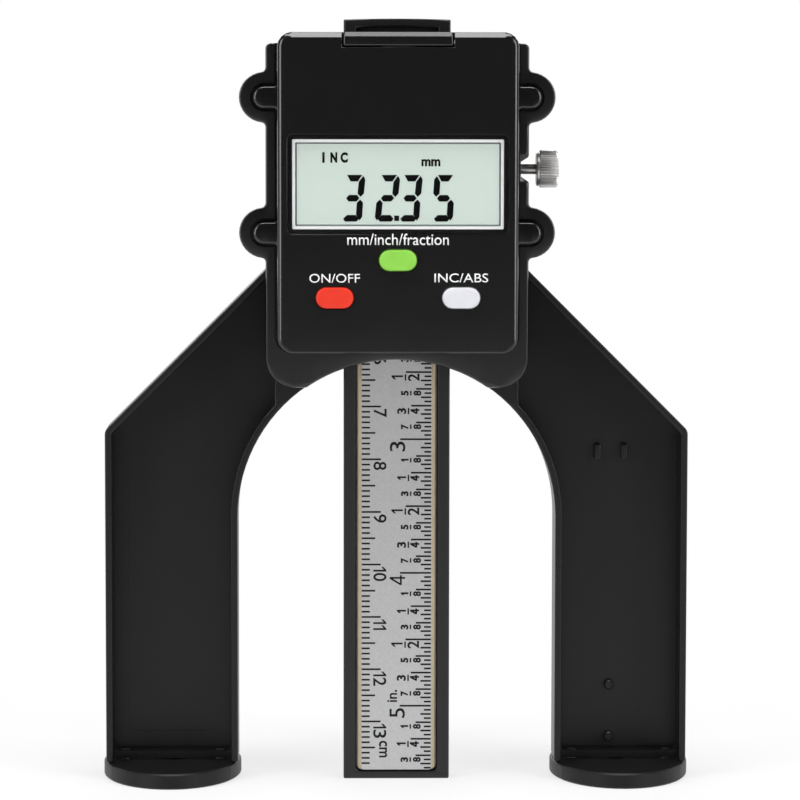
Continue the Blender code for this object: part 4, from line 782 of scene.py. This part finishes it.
def shape_drawer(work):
    """Slopes the top of the drawer's lip."""
    sizes = settings().moulding
    slope_edge(work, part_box("battery_drawer"), sizes.lip_rounding, sizes.lip_ridge,
               sizes.lip_ridge * LIP_SLOPE_SHARE, LIP_HALF)


# Stations of the knob in millimetres: distance from its inner face, radius of the teeth, radius between them
KNOB_STATIONS = (
    (0.0, 3.00, 3.00), (0.16, 3.24, 3.24), (0.44, 3.24, 3.24), (0.50, 3.10, 3.10),
    (0.62, 3.10, 3.10), (0.74, 3.50, 3.16), (3.72, 3.50, 3.16), (4.08, 3.14, 2.96),
)


def strip_knob(work):
    """Cuts the plain knob off the lock screw."""
    start = (settings().moulding.knob_start, 0, 0)
    bmesh.ops.bisect_plane(work, geom=[*work.verts, *work.edges, *work.faces],
                           plane_co=start, plane_no=(1, 0, 0), clear_outer=True)
    bmesh.ops.holes_fill(work, edges=work.edges, sides=0)


def make_knob():
    """The lock screw's knurled knob with its collar, turned about the screw's axis."""
    low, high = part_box("lock_screw")
    sizes = settings().moulding
    step = math.pi / sizes.knob_teeth
    work = bmesh.new()
    made = bmesh.ops.create_circle(work, cap_ends=True, segments=2 * sizes.knob_teeth, radius=1.0)
    ring = made["verts"]
    for index, (along, tooth, valley) in enumerate(KNOB_STATIONS):
        if index:
            rim = [edge for edge in work.edges if edge.is_boundary or index == 1]
            grown = bmesh.ops.extrude_edge_only(work, edges=rim)
            ring = [part for part in grown["geom"] if isinstance(part, bmesh.types.BMVert)]
        for v in ring:
            turn = math.atan2(v.co.y, v.co.x)
            radius = (valley if round(turn / step) % 2 else tooth) * MM
            v.co = (radius * math.cos(turn), radius * math.sin(turn), along * MM)
    bmesh.ops.holes_fill(work, edges=work.edges, sides=0)
    bmesh.ops.recalc_face_normals(work, faces=work.faces)
    place = Matrix.Translation((sizes.knob_start, 0, (low[2] + high[2]) / 2))
    bmesh.ops.transform(work, matrix=place @ Matrix.Rotation(math.pi / 2, 4, "Y"), verts=work.verts)
    mesh = bpy.data.meshes.new("lock_screw_knob")
    work.to_mesh(mesh)
    work.free()
    mesh.shade_smooth()
    mesh.set_sharp_from_angle(angle=math.radians(KNOB_SHARP_ANGLE))
    link_piece("lock_screw_knob", mesh, "nickel", "lock_knob")


def text_mesh(words, width, height, bold):
    """Words as a flat mesh in X and Y of that width and height, its lower left corner at the origin."""
    curve = bpy.data.curves.new("lettering", "FONT")
    curve.body = words
    curve.offset = bold
    curve.resolution_u = 4
    mesh = curve_mesh(curve)
    xs = [v.co.x for v in mesh.vertices]
    ys = [v.co.y for v in mesh.vertices]
    across = width / (max(xs) - min(xs))
    up = height / (max(ys) - min(ys))
    mesh.transform(Matrix.Diagonal((across, up, 1, 1)) @ Matrix.Translation((-min(xs), -min(ys), 0)))
    return mesh


def add_text(work, words, corner, right, up, height, width, bold, centred=False):
    """Adds words to a bmesh, facing the front: corner is where the lower left corner goes."""
    mesh = text_mesh(words, width, height, bold)
    reach = max(v.co.x for v in mesh.vertices)
    start = Vector(corner) - (right * reach / 2 if centred else Vector())
    place_flat(work, mesh, start, right, up)


def add_bar(work, low_x, high_x, low_z, high_z, y):
    """Adds a flat rectangle that faces the front."""
    made = bmesh.ops.create_grid(work, x_segments=1, y_segments=1, size=0.5)
    place = Matrix.Translation(((low_x + high_x) / 2, y, (low_z + high_z) / 2))
    size = Matrix.Diagonal((high_x - low_x, 1, high_z - low_z, 1))
    turn = Matrix.Rotation(math.pi / 2, 4, "X")
    bmesh.ops.transform(work, matrix=place @ size @ turn, verts=made["verts"])


def add_outline(work, points, y):
    """Adds a flat face through points in X and Z that faces the front."""
    face = work.faces.new([work.verts.new((x, y, z)) for x, z in points])
    face.normal_update()
    if face.normal.y > 0:
        face.normal_flip()


def thicken(work):
    """Gives flat printed faces their thickness, towards the front."""
    bmesh.ops.remove_doubles(work, verts=work.verts, dist=MERGE_DISTANCE)
    flat = list(work.faces)
    raised = bmesh.ops.extrude_face_region(work, geom=flat, use_keep_orig=True)
    lifted = [v for v in raised["geom"] if isinstance(v, bmesh.types.BMVert)]
    bmesh.ops.translate(work, verts=lifted, vec=(0, -PRINT_THICKNESS, 0))
    bmesh.ops.recalc_face_normals(work, faces=work.faces)


def printed_piece(name, work, finish_name, body):
    """Makes flat faces a printed layer on its body."""
    thicken(work)
    mesh = bpy.data.meshes.new(name)
    work.to_mesh(mesh)
    work.free()
    link_piece(name, mesh, finish_name, body)


RIGHT = Vector((1, 0, 0))
UP = Vector((0, 0, 1))

# Figures as shares of their height: a figure's width, the 1's width, the space between two and the
# font's own stroke. The last is a figure's height in the font.
FIGURE_WIDTH_SHARE = 0.64
ONE_WIDTH_SHARE = 0.36
FIGURE_SPACE_SHARE = 0.10
FONT_STROKE_SHARE = 0.105
FONT_HEIGHT_SHARE = 0.70


def one_outlines(width, height, stroke):
    """A flagged 1."""
    inner = width - stroke
    return [[(inner, 0), (width, 0), (width, height), (width - 0.8 * stroke, height), (0, 0.76 * height),
             (0, 0.76 * height - 1.1 * stroke), (inner, height - 1.5 * stroke)]]


def four_outlines(width, height, stroke):
    """An open 4: its outer edge and its counter."""
    right = 0.82 * width
    left = right - stroke
    low = 0.22 * height
    high = low + stroke
    rise = height - high
    slope = math.hypot(left, rise)
    outer = [(left, 0), (right, 0), (right, low), (width, low), (width, high), (right, high), (right, height),
             (left, height), (0, high), (0, low), (left, low)]
    return [outer, [(left, high), (left, height - stroke * slope / left), (stroke * slope / rise, high)]]


DRAWN_FIGURES = {"1": one_outlines, "4": four_outlines}


def drawn_mesh(outlines):
    """A flat mesh in X and Y inside closed outlines; one that lies in another is a hole."""
    curve = bpy.data.curves.new("figure", "CURVE")
    curve.dimensions = "2D"
    curve.fill_mode = "BOTH"
    for outline in outlines:
        spline = curve.splines.new("POLY")
        spline.points.add(len(outline) - 1)
        for point, (x, y) in zip(spline.points, outline):
            point.co = (x, y, 0, 1)
        spline.use_cyclic_u = True
    return curve_mesh(curve)


def figure_width(figure, height):
    """A figure's width at that height."""
    return height * (ONE_WIDTH_SHARE if figure == "1" else FIGURE_WIDTH_SHARE)


def add_figures(work, figures, corner, right, up, height, centred=False):
    """Adds a number in bold figures of equal stroke."""
    space = FIGURE_SPACE_SHARE * height
    widths = [figure_width(figure, height) for figure in figures]
    start = Vector(corner)
    if centred:
        start -= right * (sum(widths) + space * (len(figures) - 1)) / 2
    stroke = settings().rule.figure_stroke
    bold = (stroke / height - FONT_STROKE_SHARE) / 2 * FONT_HEIGHT_SHARE
    for figure, width in zip(figures, widths):
        if figure in DRAWN_FIGURES:
            mesh = drawn_mesh(DRAWN_FIGURES[figure](width, height, stroke))
            place_flat(work, mesh, start, right, up)
        else:
            add_text(work, figure, start, right, up, height, width, bold)
        start = start + right * (width + space)


# Rule

INCH = 25.4 * MM
THIRTY_SECONDS = 32

# How far the two scales' lines begin from the rule's edges
METRIC_MARGIN = 0.02 * MM
INCH_MARGIN = 0.06 * MM

# Lengths of the inch scale's lines as shares of the longest, by the thirty-seconds between such lines
INCH_LINE_SHARES = {32: 1.0, 16: 0.820, 8: 0.648, 4: 0.488, 2: 0.335, 1: 0.221}

# Figures: the last of each scale, their baselines from the rule's edges, and how far below their lines
# they stand
LAST_CENTIMETRE = 13
LAST_INCH = 5
LAST_FRACTION = 12
METRIC_BASE = 2.22 * MM
INCH_BASE = 4.96 * MM
METRIC_DROP = 0.45 * MM
INCH_DROP = 1.38 * MM

# Unit words: baseline from the rule's edge, height and width; how far the first stands below zero, and
# how far the other stands over the last inch
CENTIMETRE_WORD = (3.32 * MM, 1.55 * MM, 3.20 * MM)
INCH_WORD = (6.45 * MM, 1.90 * MM, 2.35 * MM)
CENTIMETRE_WORD_DROP = 133.72 * MM
INCH_WORD_RISE = 0.72 * MM
UNIT_WORD_BOLD = 0.018

# Thickness of a fraction's bar as a share of the scale's lines
FRACTION_BAR_SHARE = 0.84


def print_scales():
    """Centimetre lines from the rule's left edge, inch lines from its right edge."""
    sizes = settings().rule
    low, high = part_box("steel_rule")
    face = low[1] - PRINT_LIFT
    half_line = sizes.line_width / 2
    scale_length = sizes.zero_height - low[2] - sizes.line_width
    left = low[0] + METRIC_MARGIN
    right = high[0] - INCH_MARGIN
    work = bmesh.new()
    for step in range(int(scale_length / MM) + 1):
        length = sizes.millimetre_line
        if step % 10 == 0:
            length = sizes.centimetre_line
        elif step % 5 == 0:
            length = sizes.half_line
        height = sizes.zero_height - step * MM
        add_bar(work, left, left + length, height - half_line, height + half_line, face)
    for step in range(int(scale_length / INCH * THIRTY_SECONDS) + 1):
        share = next(INCH_LINE_SHARES[part] for part in INCH_LINE_SHARES if step % part == 0)
        height = sizes.zero_height - step * INCH / THIRTY_SECONDS
        add_bar(work, right - sizes.inch_line * share, right, height - half_line, height + half_line, face)
    printed_piece("rule_scale_lines", work, "rule_ink", "depth_bar")


def print_figures():
    """Figures of both scales, each just below its line and turned a quarter."""
    sizes = settings().rule
    low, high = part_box("steel_rule")
    left, right = low[0], high[0]
    zero = sizes.zero_height
    face = low[1] - PRINT_LIFT
    work = bmesh.new()
    for figure in range(1, LAST_CENTIMETRE + 1):
        top = zero - figure * 10 * MM - METRIC_DROP
        add_figures(work, str(figure), (left + METRIC_BASE, face, top), -UP, RIGHT, sizes.figure_height)
    for step in range(1, LAST_INCH * THIRTY_SECONDS + LAST_FRACTION + 1):
        height = zero - step * INCH / THIRTY_SECONDS
        if step % THIRTY_SECONDS == 0:
            add_figures(work, str(step // THIRTY_SECONDS), (right - INCH_BASE, face, height - INCH_DROP),
                        UP, -RIGHT, sizes.inch_figure_height, centred=True)
        elif step % 4 == 0:
            add_fraction(work, step % THIRTY_SECONDS, height, right, face)
    base, height, width = CENTIMETRE_WORD
    start = (left + base, face, zero - CENTIMETRE_WORD_DROP)
    add_text(work, "cm", start, -UP, RIGHT, height, width, UNIT_WORD_BOLD)
    base, height, width = INCH_WORD
    start = (right - base, face, zero - LAST_INCH * INCH + INCH_WORD_RISE)
    add_text(work, "in.", start, UP, -RIGHT, height, width, UNIT_WORD_BOLD)
    printed_piece("rule_figures", work, "rule_ink", "depth_bar")


# Fraction sizes: numerator's height and baseline, the bar's place and length, denominator's height and
# baseline, and how far the fraction stands below its line
HALVES = (2.17 * MM, 5.42 * MM, 4.95 * MM, 1.20 * MM, 2.20 * MM, 2.31 * MM, 1.00 * MM)
QUARTERS = (1.72 * MM, 4.79 * MM, 4.37 * MM, 1.18 * MM, 1.70 * MM, 2.31 * MM, 1.00 * MM)
EIGHTHS = (1.45 * MM, 4.34 * MM, 3.94 * MM, 0.85 * MM, 1.50 * MM, 1.95 * MM, 0.80 * MM)


def add_fraction(work, step, height, right, face):
    """A fraction read upwards, its numerator to the left of its bar."""
    part = THIRTY_SECONDS // math.gcd(step, THIRTY_SECONDS)
    numerator = step * part // THIRTY_SECONDS
    sizes = {2: HALVES, 4: QUARTERS, 8: EIGHTHS}[part]
    top_height, top_base, bar, bar_length, low_height, low_base, drop = sizes
    centre = height - drop
    half_line = settings().rule.line_width * FRACTION_BAR_SHARE / 2
    add_figures(work, str(numerator), (right - top_base, face, centre), UP, -RIGHT, top_height, centred=True)
    add_figures(work, str(part), (right - low_base, face, centre), UP, -RIGHT, low_height, centred=True)
    add_bar(work, right - bar - half_line, right - bar + half_line,
            centre - bar_length / 2, centre + bar_length / 2, face)


# Display

SEGMENTS_OF = {
    "0": "abcdef", "1": "bc", "2": "abged", "3": "abgcd", "4": "fgbc", "5": "afgcd",
    "6": "afgecd", "7": "abc", "8": "abcdefg", "9": "abcdfg",
}

# Corners of the top, upper right, middle and bottom segments, in millimetres from a digit's middle,
# before it leans
TOP_SEGMENT = ((-1.40, 4.30), (1.40, 4.30), (0.66, 3.10), (-0.66, 3.10))
UPRIGHT_SEGMENT = ((1.60, 4.12), (2.02, 3.45), (1.98, 0.86), (1.40, 0.24), (0.82, 0.86), (0.86, 3.02))
MIDDLE_SEGMENT = ((-1.22, 0.0), (-0.74, 0.60), (0.74, 0.60), (1.22, 0.0), (0.74, -0.60), (-0.74, -0.60))
BOTTOM_SEGMENT = ((-1.46, -3.78), (-0.80, -3.10), (0.80, -3.10), (1.46, -3.78), (1.08, -4.30), (-1.08, -4.30))

# The digits' middles across the display and how far they stand below its middle, and the point's sides
# and its heights over their foot
DIGIT_MIDDLES = (-8.36 * MM, -1.95 * MM, 2.22 * MM, 8.41 * MM)
DIGIT_DROP = 2.56 * MM
POINT_SIDES = (-0.70 * MM, 0.20 * MM)
POINT_HEIGHTS = (0.12 * MM, 1.10 * MM)

# The mode word's letters, each with its start and width, and its baseline over the display's middle
MODE_LETTERS = ((-13.98 * MM, 0.42 * MM), (-12.48 * MM, 1.26 * MM), (-10.63 * MM, 1.36 * MM))
MODE_RISE = 3.98 * MM
MODE_HEIGHT = 1.93 * MM
MODE_BOLD = 0.055

# The unit word's start, baseline over the display's middle, height and width
UNIT_START = 4.32 * MM
UNIT_RISE = 3.32 * MM
UNIT_HEIGHT = 1.34 * MM
UNIT_WIDTH = 3.48 * MM
UNIT_BOLD = 0.035

# The window's black border: its distance from the window's edge, and the width of its opening
MASK_MARGIN = 0.12 * MM
MASK_OPENING = 39.1 * MM

# Labels over the keys: name, words, key, height, width, and the gap between key and words
LABELS = (
    ("label_units", "mm/inch/fraction", "button_units", 2.12 * MM, 18.75 * MM, 0.28 * MM),
    ("label_power", "ON/OFF", "button_power", 1.66 * MM, 9.35 * MM, 0.26 * MM),
    ("label_datum", "INC/ABS", "button_datum", 1.66 * MM, 9.95 * MM, 0.34 * MM),
)
LABEL_BOLD = 0.003


def segment_outlines(height):
    """The corners of each segment round a digit's middle, before it leans."""
    scale = height / (TOP_SEGMENT[0][1] - BOTTOM_SEGMENT[-1][1])

    def flip(points, across, over):
        return [(x * across * scale, z * over * scale) for x, z in points]

    return {"a": flip(TOP_SEGMENT, 1, 1), "b": flip(UPRIGHT_SEGMENT, 1, 1), "c": flip(UPRIGHT_SEGMENT, 1, -1),
            "d": flip(BOTTOM_SEGMENT, 1, 1), "e": flip(UPRIGHT_SEGMENT, -1, -1),
            "f": flip(UPRIGHT_SEGMENT, -1, 1), "g": flip(MIDDLE_SEGMENT, 1, 1)}


def show_reading():
    """The dark segments and words, on the display glass behind the clear window."""
    sizes = settings().display
    low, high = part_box("lcd_cell")
    face = low[1] - GLASS_LIFT
    middle = (low[2] + high[2]) / 2
    outlines = segment_outlines(sizes.digit_height)
    height = middle - DIGIT_DROP
    work = bmesh.new()
    for digit, across in zip(sizes.reading.replace(".", ""), DIGIT_MIDDLES):
        for letter in SEGMENTS_OF[digit]:
            points = [(across + x + z * sizes.lean, height + z) for x, z in outlines[letter]]
            add_outline(work, points, face)
    foot = height - sizes.digit_height / 2
    add_bar(work, *POINT_SIDES, foot + POINT_HEIGHTS[0], foot + POINT_HEIGHTS[1], face)
    printed_piece("display_digits", work, "segment_black", "gauge_frame")
    work = bmesh.new()
    for letter, (start, width) in zip(sizes.mode_word, MODE_LETTERS):
        add_text(work, letter, (start, face, middle + MODE_RISE), RIGHT, UP, MODE_HEIGHT, width, MODE_BOLD)
    add_text(work, sizes.unit_word, (UNIT_START, face, middle + UNIT_RISE), RIGHT, UP,
             UNIT_HEIGHT, UNIT_WIDTH, UNIT_BOLD)
    printed_piece("display_words", work, "segment_black", "gauge_frame")


def add_frame(work, half_width, low, high, band, face):
    """Adds four flat strips as a rectangular frame, its outer edge at half_width, low and high."""
    add_bar(work, -half_width, half_width, high - band, high, face)
    add_bar(work, -half_width, half_width, low, low + band, face)
    add_bar(work, -half_width, band - half_width, low + band, high - band, face)
    add_bar(work, half_width - band, half_width, low + band, high - band, face)


def print_display_seal():
    """Painted shadow of the white frame: a thin grey line printed along the display's edge, just inside the
    frame.
    """
    low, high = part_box("lcd_cell")
    sizes = settings().display
    inset = sizes.seal_inset
    work = bmesh.new()
    add_frame(work, high[0] - inset, low[2] + inset, high[2] - inset, sizes.seal_width, low[1] - GLASS_LIFT)
    printed_piece("display_seal", work, "seal_grey", "gauge_frame")


def print_window_mask():
    """Black border printed behind the clear window, round the white frame."""
    low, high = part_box("display_window")
    half_width = high[0] - MASK_MARGIN
    band = half_width - MASK_OPENING / 2
    work = bmesh.new()
    add_frame(work, half_width, low[2] + MASK_MARGIN, high[2] - MASK_MARGIN, band, high[1] + GLASS_LIFT)
    printed_piece("window_mask", work, "mask_black", "gauge_frame")


def print_labels():
    """White words over the three keys."""
    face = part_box("front_housing")[0][1] - PRINT_LIFT
    for name, words, node, height, width, gap in LABELS:
        key_low, key_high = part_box(node)
        start = ((key_low[0] + key_high[0]) / 2, face, key_high[2] + gap)
        work = bmesh.new()
        add_text(work, words, start, RIGHT, UP, height, width, LABEL_BOLD, centred=True)
        printed_piece(name, work, "label_ink", "gauge_frame")


# Carried-over nodes

def dress_node(node, finish_name):
    """Gives a CAD node its finish."""
    mesh = frame["nodes"][node].data
    if not mesh.materials:
        mesh.materials.append(None)
    for index in range(len(mesh.materials)):
        mesh.materials[index] = finish(finish_name)


# Stage

# What the lights are aimed at, in metres
LIGHT_TARGET = (0, 0, 0.075)

# Gloss sees the studio turn from dark to white between these Y parts of a ray's direction
SIDE_TURN = (0.25, 0.60)

# The floor: its radius in metres, how far below the gauge it lies, and the length in metres over which
# its pale part turns dark in gloss
FLOOR_RADIUS = 3.0
FLOOR_DROP = 0.05 * MM
TABLE_FADE = 0.35

# Between these distances from the gauge the floor turns plain white, and nearer by it is this plain
SHADOW_REACH = (60 * MM, 300 * MM)
NEAR_PLAIN = 0.68


def area_light(name, power, size, place):
    """Adds a rectangular light that faces the gauge."""
    data = bpy.data.lights.new(name, "AREA")
    data.shape = "RECTANGLE"
    data.size, data.size_y = size
    data.energy = power
    light = bpy.data.objects.new(name, data)
    way = Vector(LIGHT_TARGET) - Vector(place)
    light.matrix_world = Matrix.Translation(place) @ way.to_track_quat("-Z", "Y").to_matrix().to_4x4()
    bpy.context.scene.collection.objects.link(light)


def background_ray(tree):
    """1 for rays that should see the plain white background."""
    path = tree.nodes.new("ShaderNodeLightPath")
    first = add_node(tree, "ShaderNodeMath", {
        0: path.outputs["Is Camera Ray"], 1: path.outputs["Is Glossy Ray"]}, operation="MAXIMUM")
    both = add_node(tree, "ShaderNodeMath", {
        0: first.outputs[0], 1: path.outputs["Is Transmission Ray"]}, operation="MAXIMUM")
    return both.outputs[0]


def gloss_level(tree, level):
    """1 for the eye, and the level for rays that come from a glossy surface."""
    path = tree.nodes.new("ShaderNodeLightPath")
    made = add_node(tree, "ShaderNodeMix", {
        0: path.outputs["Is Glossy Ray"], 2: 1.0, 3: level}, data_type="FLOAT")
    return made.outputs[0]


def make_world():
    """Plain white to the eye, soft to matt surfaces, and dark in gloss in front of the gauge."""
    world = bpy.data.worlds.new("studio_surround")
    bpy.context.scene.world = world
    world.use_nodes = True
    tree = world.node_tree
    tree.nodes.clear()
    output = tree.nodes.new("ShaderNodeOutputWorld")
    soft = add_node(tree, "ShaderNodeBackground", {
        "Color": (1, 1, 1, 1), "Strength": settings().stage.ambient})
    towards = add_node(tree, "ShaderNodeSeparateXYZ", {
        "Vector": tree.nodes.new("ShaderNodeTexCoord").outputs["Generated"]})
    front = add_node(tree, "ShaderNodeMapRange", {
        "Value": towards.outputs["Y"], "From Min": SIDE_TURN[0], "From Max": SIDE_TURN[1],
        "To Min": settings().stage.dark_side, "To Max": 1.0}, interpolation_type="SMOOTHSTEP")
    plain = add_node(tree, "ShaderNodeBackground", {
        "Color": (1, 1, 1, 1), "Strength": gloss_level(tree, front.outputs["Result"])})
    mixed = add_node(tree, "ShaderNodeMixShader", {0: background_ray(tree)})
    tree.links.new(soft.outputs[0], mixed.inputs[1])
    tree.links.new(plain.outputs[0], mixed.inputs[2])
    tree.links.new(mixed.outputs[0], output.inputs["Surface"])


def make_floor():
    """A pale floor that keeps the gauge's shadow close by and is plain white farther off."""
    material = bpy.data.materials.new("studio_floor")
    material.use_nodes = True
    tree = material.node_tree
    tree.nodes.clear()
    output = tree.nodes.new("ShaderNodeOutputMaterial")
    place = tree.nodes.new("ShaderNodeTexCoord").outputs["Object"]
    grain = noise(tree, place, 3 * MM, 2)
    colour = blend_colours(tree, grain, (0.80, 0.80, 0.80), (0.84, 0.84, 0.84))
    matte = add_node(tree, "ShaderNodeBsdfDiffuse", {"Color": colour})
    depth = add_node(tree, "ShaderNodeSeparateXYZ", {"Vector": place}).outputs["Y"]
    sizes = settings().stage
    table = add_node(tree, "ShaderNodeMapRange", {
        "Value": depth, "From Min": sizes.table_end - TABLE_FADE, "From Max": sizes.table_end,
        "To Min": sizes.dark_side, "To Max": 1.0}, interpolation_type="SMOOTHSTEP")
    glow = add_node(tree, "ShaderNodeEmission", {
        "Color": (1, 1, 1, 1), "Strength": gloss_level(tree, table.outputs["Result"])})
    away = add_node(tree, "ShaderNodeVectorMath", {0: place}, operation="LENGTH")
    far = add_node(tree, "ShaderNodeMapRange", {
        "Value": away.outputs["Value"], "From Min": SHADOW_REACH[0], "From Max": SHADOW_REACH[1],
        "To Min": NEAR_PLAIN, "To Max": 1.0}, interpolation_type="SMOOTHSTEP")
    share = add_node(tree, "ShaderNodeMath", {
        0: far.outputs["Result"], 1: background_ray(tree)}, operation="MULTIPLY")
    mixed = add_node(tree, "ShaderNodeMixShader", {0: share.outputs[0]})
    tree.links.new(matte.outputs[0], mixed.inputs[1])
    tree.links.new(glow.outputs[0], mixed.inputs[2])
    tree.links.new(mixed.outputs[0], output.inputs["Surface"])
    work = bmesh.new()
    bmesh.ops.create_circle(work, cap_ends=True, segments=96, radius=FLOOR_RADIUS)
    bmesh.ops.translate(work, verts=work.verts, vec=(0, 0, -FLOOR_DROP))
    mesh = bpy.data.meshes.new("studio_floor")
    work.to_mesh(mesh)
    work.free()
    mesh.materials.append(material)
    floor = bpy.data.objects.new("studio_floor", mesh)
    bpy.context.scene.collection.objects.link(floor)


def make_camera():
    """A camera that sees the gauge as the photo does."""
    sizes = settings().stage
    turn = sizes.azimuth
    rise = sizes.elevation
    back = Vector((math.sin(turn) * math.cos(rise), -math.cos(turn) * math.cos(rise), math.sin(rise)))
    right = Vector((math.cos(turn), math.sin(turn), 0))
    up = back.cross(right)
    rolled_right = right * math.cos(sizes.roll) + up * math.sin(sizes.roll)
    rolled_up = up * math.cos(sizes.roll) - right * math.sin(sizes.roll)
    data = bpy.data.cameras.new("photo_camera")
    data.sensor_fit = "HORIZONTAL"
    data.sensor_width = 36
    data.lens = sizes.lens
    data.clip_start = 0.01
    camera = bpy.data.objects.new("photo_camera", data)
    place = Vector(sizes.target) + back * sizes.distance
    camera.matrix_world = Matrix.Translation(place) @ Matrix(
        (rolled_right, rolled_up, back)).transposed().to_4x4()
    bpy.context.scene.collection.objects.link(camera)
    bpy.context.scene.camera = camera


# Operators

class FrameOperator(bpy.types.Operator):
    """Bridge frame: the arch with its two trays"""
    bl_idname = "depth_gauge.bridge_frame"
    bl_label = "Bridge frame"

    def execute(self, context):
        soften("bridge_frame", "bridge_frame_moulding", settings().moulding.frame_edge,
               "frame_plastic", "gauge_frame")
        return {"FINISHED"}


class PlateOperator(bpy.types.Operator):
    """Carrier plate with its four ears"""
    bl_idname = "depth_gauge.carrier_plate"
    bl_label = "Carrier plate"

    def execute(self, context):
        soften("carrier_plate", "carrier_plate_moulding", settings().moulding.frame_edge,
               "plate_plastic", "gauge_frame", reshape=shape_plate, cutters=moat_cutters)
        return {"FINISHED"}


class HousingOperator(bpy.types.Operator):
    """Display housing with its lugs and openings"""
    bl_idname = "depth_gauge.front_housing"
    bl_label = "Display housing"

    def execute(self, context):
        soften("front_housing", "front_housing_moulding", settings().moulding.housing_edge,
               "housing_plastic", "gauge_frame", reshape=shape_housing)
        return {"FINISHED"}


class DrawerOperator(bpy.types.Operator):
    """Battery drawer"""
    bl_idname = "depth_gauge.battery_drawer"
    bl_label = "Battery drawer"

    def execute(self, context):
        soften("battery_drawer", "battery_drawer_moulding", settings().moulding.drawer_edge,
               "housing_plastic", "cell_drawer", pocketed=True,
               reshape=shape_drawer)
        return {"FINISHED"}


class SoleOperator(bpy.types.Operator):
    """Two oval soles"""
    bl_idname = "depth_gauge.soles"
    bl_label = "Soles"

    def execute(self, context):
        for side in ("left", "right"):
            soften(f"{side}_foot_base", f"{side}_foot_sole", settings().moulding.sole_edge,
                   "sole_plastic", "gauge_frame")
        return {"FINISHED"}


class BarOperator(bpy.types.Operator):
    """Measuring bar"""
    bl_idname = "depth_gauge.slider_bar"
    bl_label = "Measuring bar"

    def execute(self, context):
        soften("slider_bar", "slider_bar_profile", settings().moulding.bar_edge,
               "bar_coating", "depth_bar")
        return {"FINISHED"}


class RuleOperator(bpy.types.Operator):
    """Lines and figures of the rule"""
    bl_idname = "depth_gauge.rule_print"
    bl_label = "Rule print"

    def execute(self, context):
        print_scales()
        print_figures()
        return {"FINISHED"}


class KeyOperator(bpy.types.Operator):
    """Three keys"""
    bl_idname = "depth_gauge.keys"
    bl_label = "Keys"

    def execute(self, context):
        for node, colour, body in (("button_units", "button_green", "units_key"),
                                   ("button_power", "button_red", "power_key"),
                                   ("button_datum", "button_white", "datum_key")):
            soften(node, node + "_cap", settings().moulding.key_edge, colour, body, segments=4)
        return {"FINISHED"}


class DisplayOperator(bpy.types.Operator):
    """Reading and words on the display"""
    bl_idname = "depth_gauge.display"
    bl_label = "Display"

    def execute(self, context):
        show_reading()
        # The white frame's shadow on the display is painted on as a thin grey line
        print_display_seal()
        print_window_mask()
        return {"FINISHED"}


class LabelOperator(bpy.types.Operator):
    """White words over the keys"""
    bl_idname = "depth_gauge.labels"
    bl_label = "Labels"

    def execute(self, context):
        print_labels()
        return {"FINISHED"}


class LockOperator(bpy.types.Operator):
    """Knurled lock screw"""
    bl_idname = "depth_gauge.lock_screw"
    bl_label = "Lock screw"

    def execute(self, context):
        soften("lock_screw", "lock_screw_turned", settings().moulding.screw_edge,
               "nickel", "lock_knob", angle=25.0, reshape=strip_knob)
        make_knob()
        return {"FINISHED"}


class InnerOperator(bpy.types.Operator):
    """Finishes of the nodes that stay as the frame has them"""
    bl_idname = "depth_gauge.inner_pieces"
    bl_label = "Inner pieces and screws"

    def execute(self, context):
        slots = {part["node"]: part["material_slot"] for part in frame["record"]["subparts"]}
        for node in frame["nodes"]:
            dress_node(node, SLOT_FINISHES.get(slots[node], slots[node]))
        return {"FINISHED"}


class StageOperator(bpy.types.Operator):
    """Floor, lights, surround and camera"""
    bl_idname = "depth_gauge.stage"
    bl_label = "Stage"

    def execute(self, context):
        sizes = settings().stage
        context.scene.view_settings.view_transform = "Standard"
        make_world()
        make_floor()
        area_light("top_light", sizes.top_power, (0.45, 0.30), (0, -0.08, 0.60))
        area_light("left_light", sizes.side_power, (0.30, 0.50), (-0.58, -0.42, 0.26))
        area_light("right_light", sizes.side_power, (0.30, 0.50), (0.58, -0.42, 0.26))
        area_light("back_light", sizes.back_power, (0.50, 0.28), (0, 0.55, 0.34))
        make_camera()
        return {"FINISHED"}


class GaugePanel(bpy.types.Panel):
    """Lists the depth gauge's steps and settings"""
    bl_idname = "VIEW3D_PT_depth_gauge"
    bl_label = "Depth Gauge"
    bl_space_type = "VIEW_3D"
    bl_region_type = "UI"
    bl_category = "Depth Gauge"

    def draw(self, context):
        for step in STEPS:
            self.layout.operator(step.bl_idname)
        groups = context.scene.depth_gauge
        for group in (groups.moulding, groups.rule, groups.display, groups.finish, groups.stage):
            box = self.layout.box()
            for name in group.bl_rna.properties.keys():
                if name not in ("rna_type", "name"):
                    box.prop(group, name)


STEPS = (InnerOperator, FrameOperator, PlateOperator, HousingOperator, DrawerOperator, SoleOperator,
         BarOperator, RuleOperator, KeyOperator, DisplayOperator, LabelOperator, LockOperator, StageOperator)
CLASSES = (MouldingSettings, RuleSettings, DisplaySettings, FinishSettings, StageSettings, GaugeSettings,
           *STEPS, GaugePanel)


def register():
    """Registers the classes and puts the settings on the scene."""
    for made in CLASSES:
        bpy.utils.register_class(made)
    bpy.types.Scene.depth_gauge = PointerProperty(type=GaugeSettings)


def unregister():
    """Takes the settings and the classes away again."""
    del bpy.types.Scene.depth_gauge
    for made in reversed(CLASSES):
        bpy.utils.unregister_class(made)


def main():
    """Builds every piece and the stage."""
    register()
    for step in STEPS:
        group, name = step.bl_idname.split(".")
        getattr(getattr(bpy.ops, group), name)()


if __name__ == "__main__":
    main()
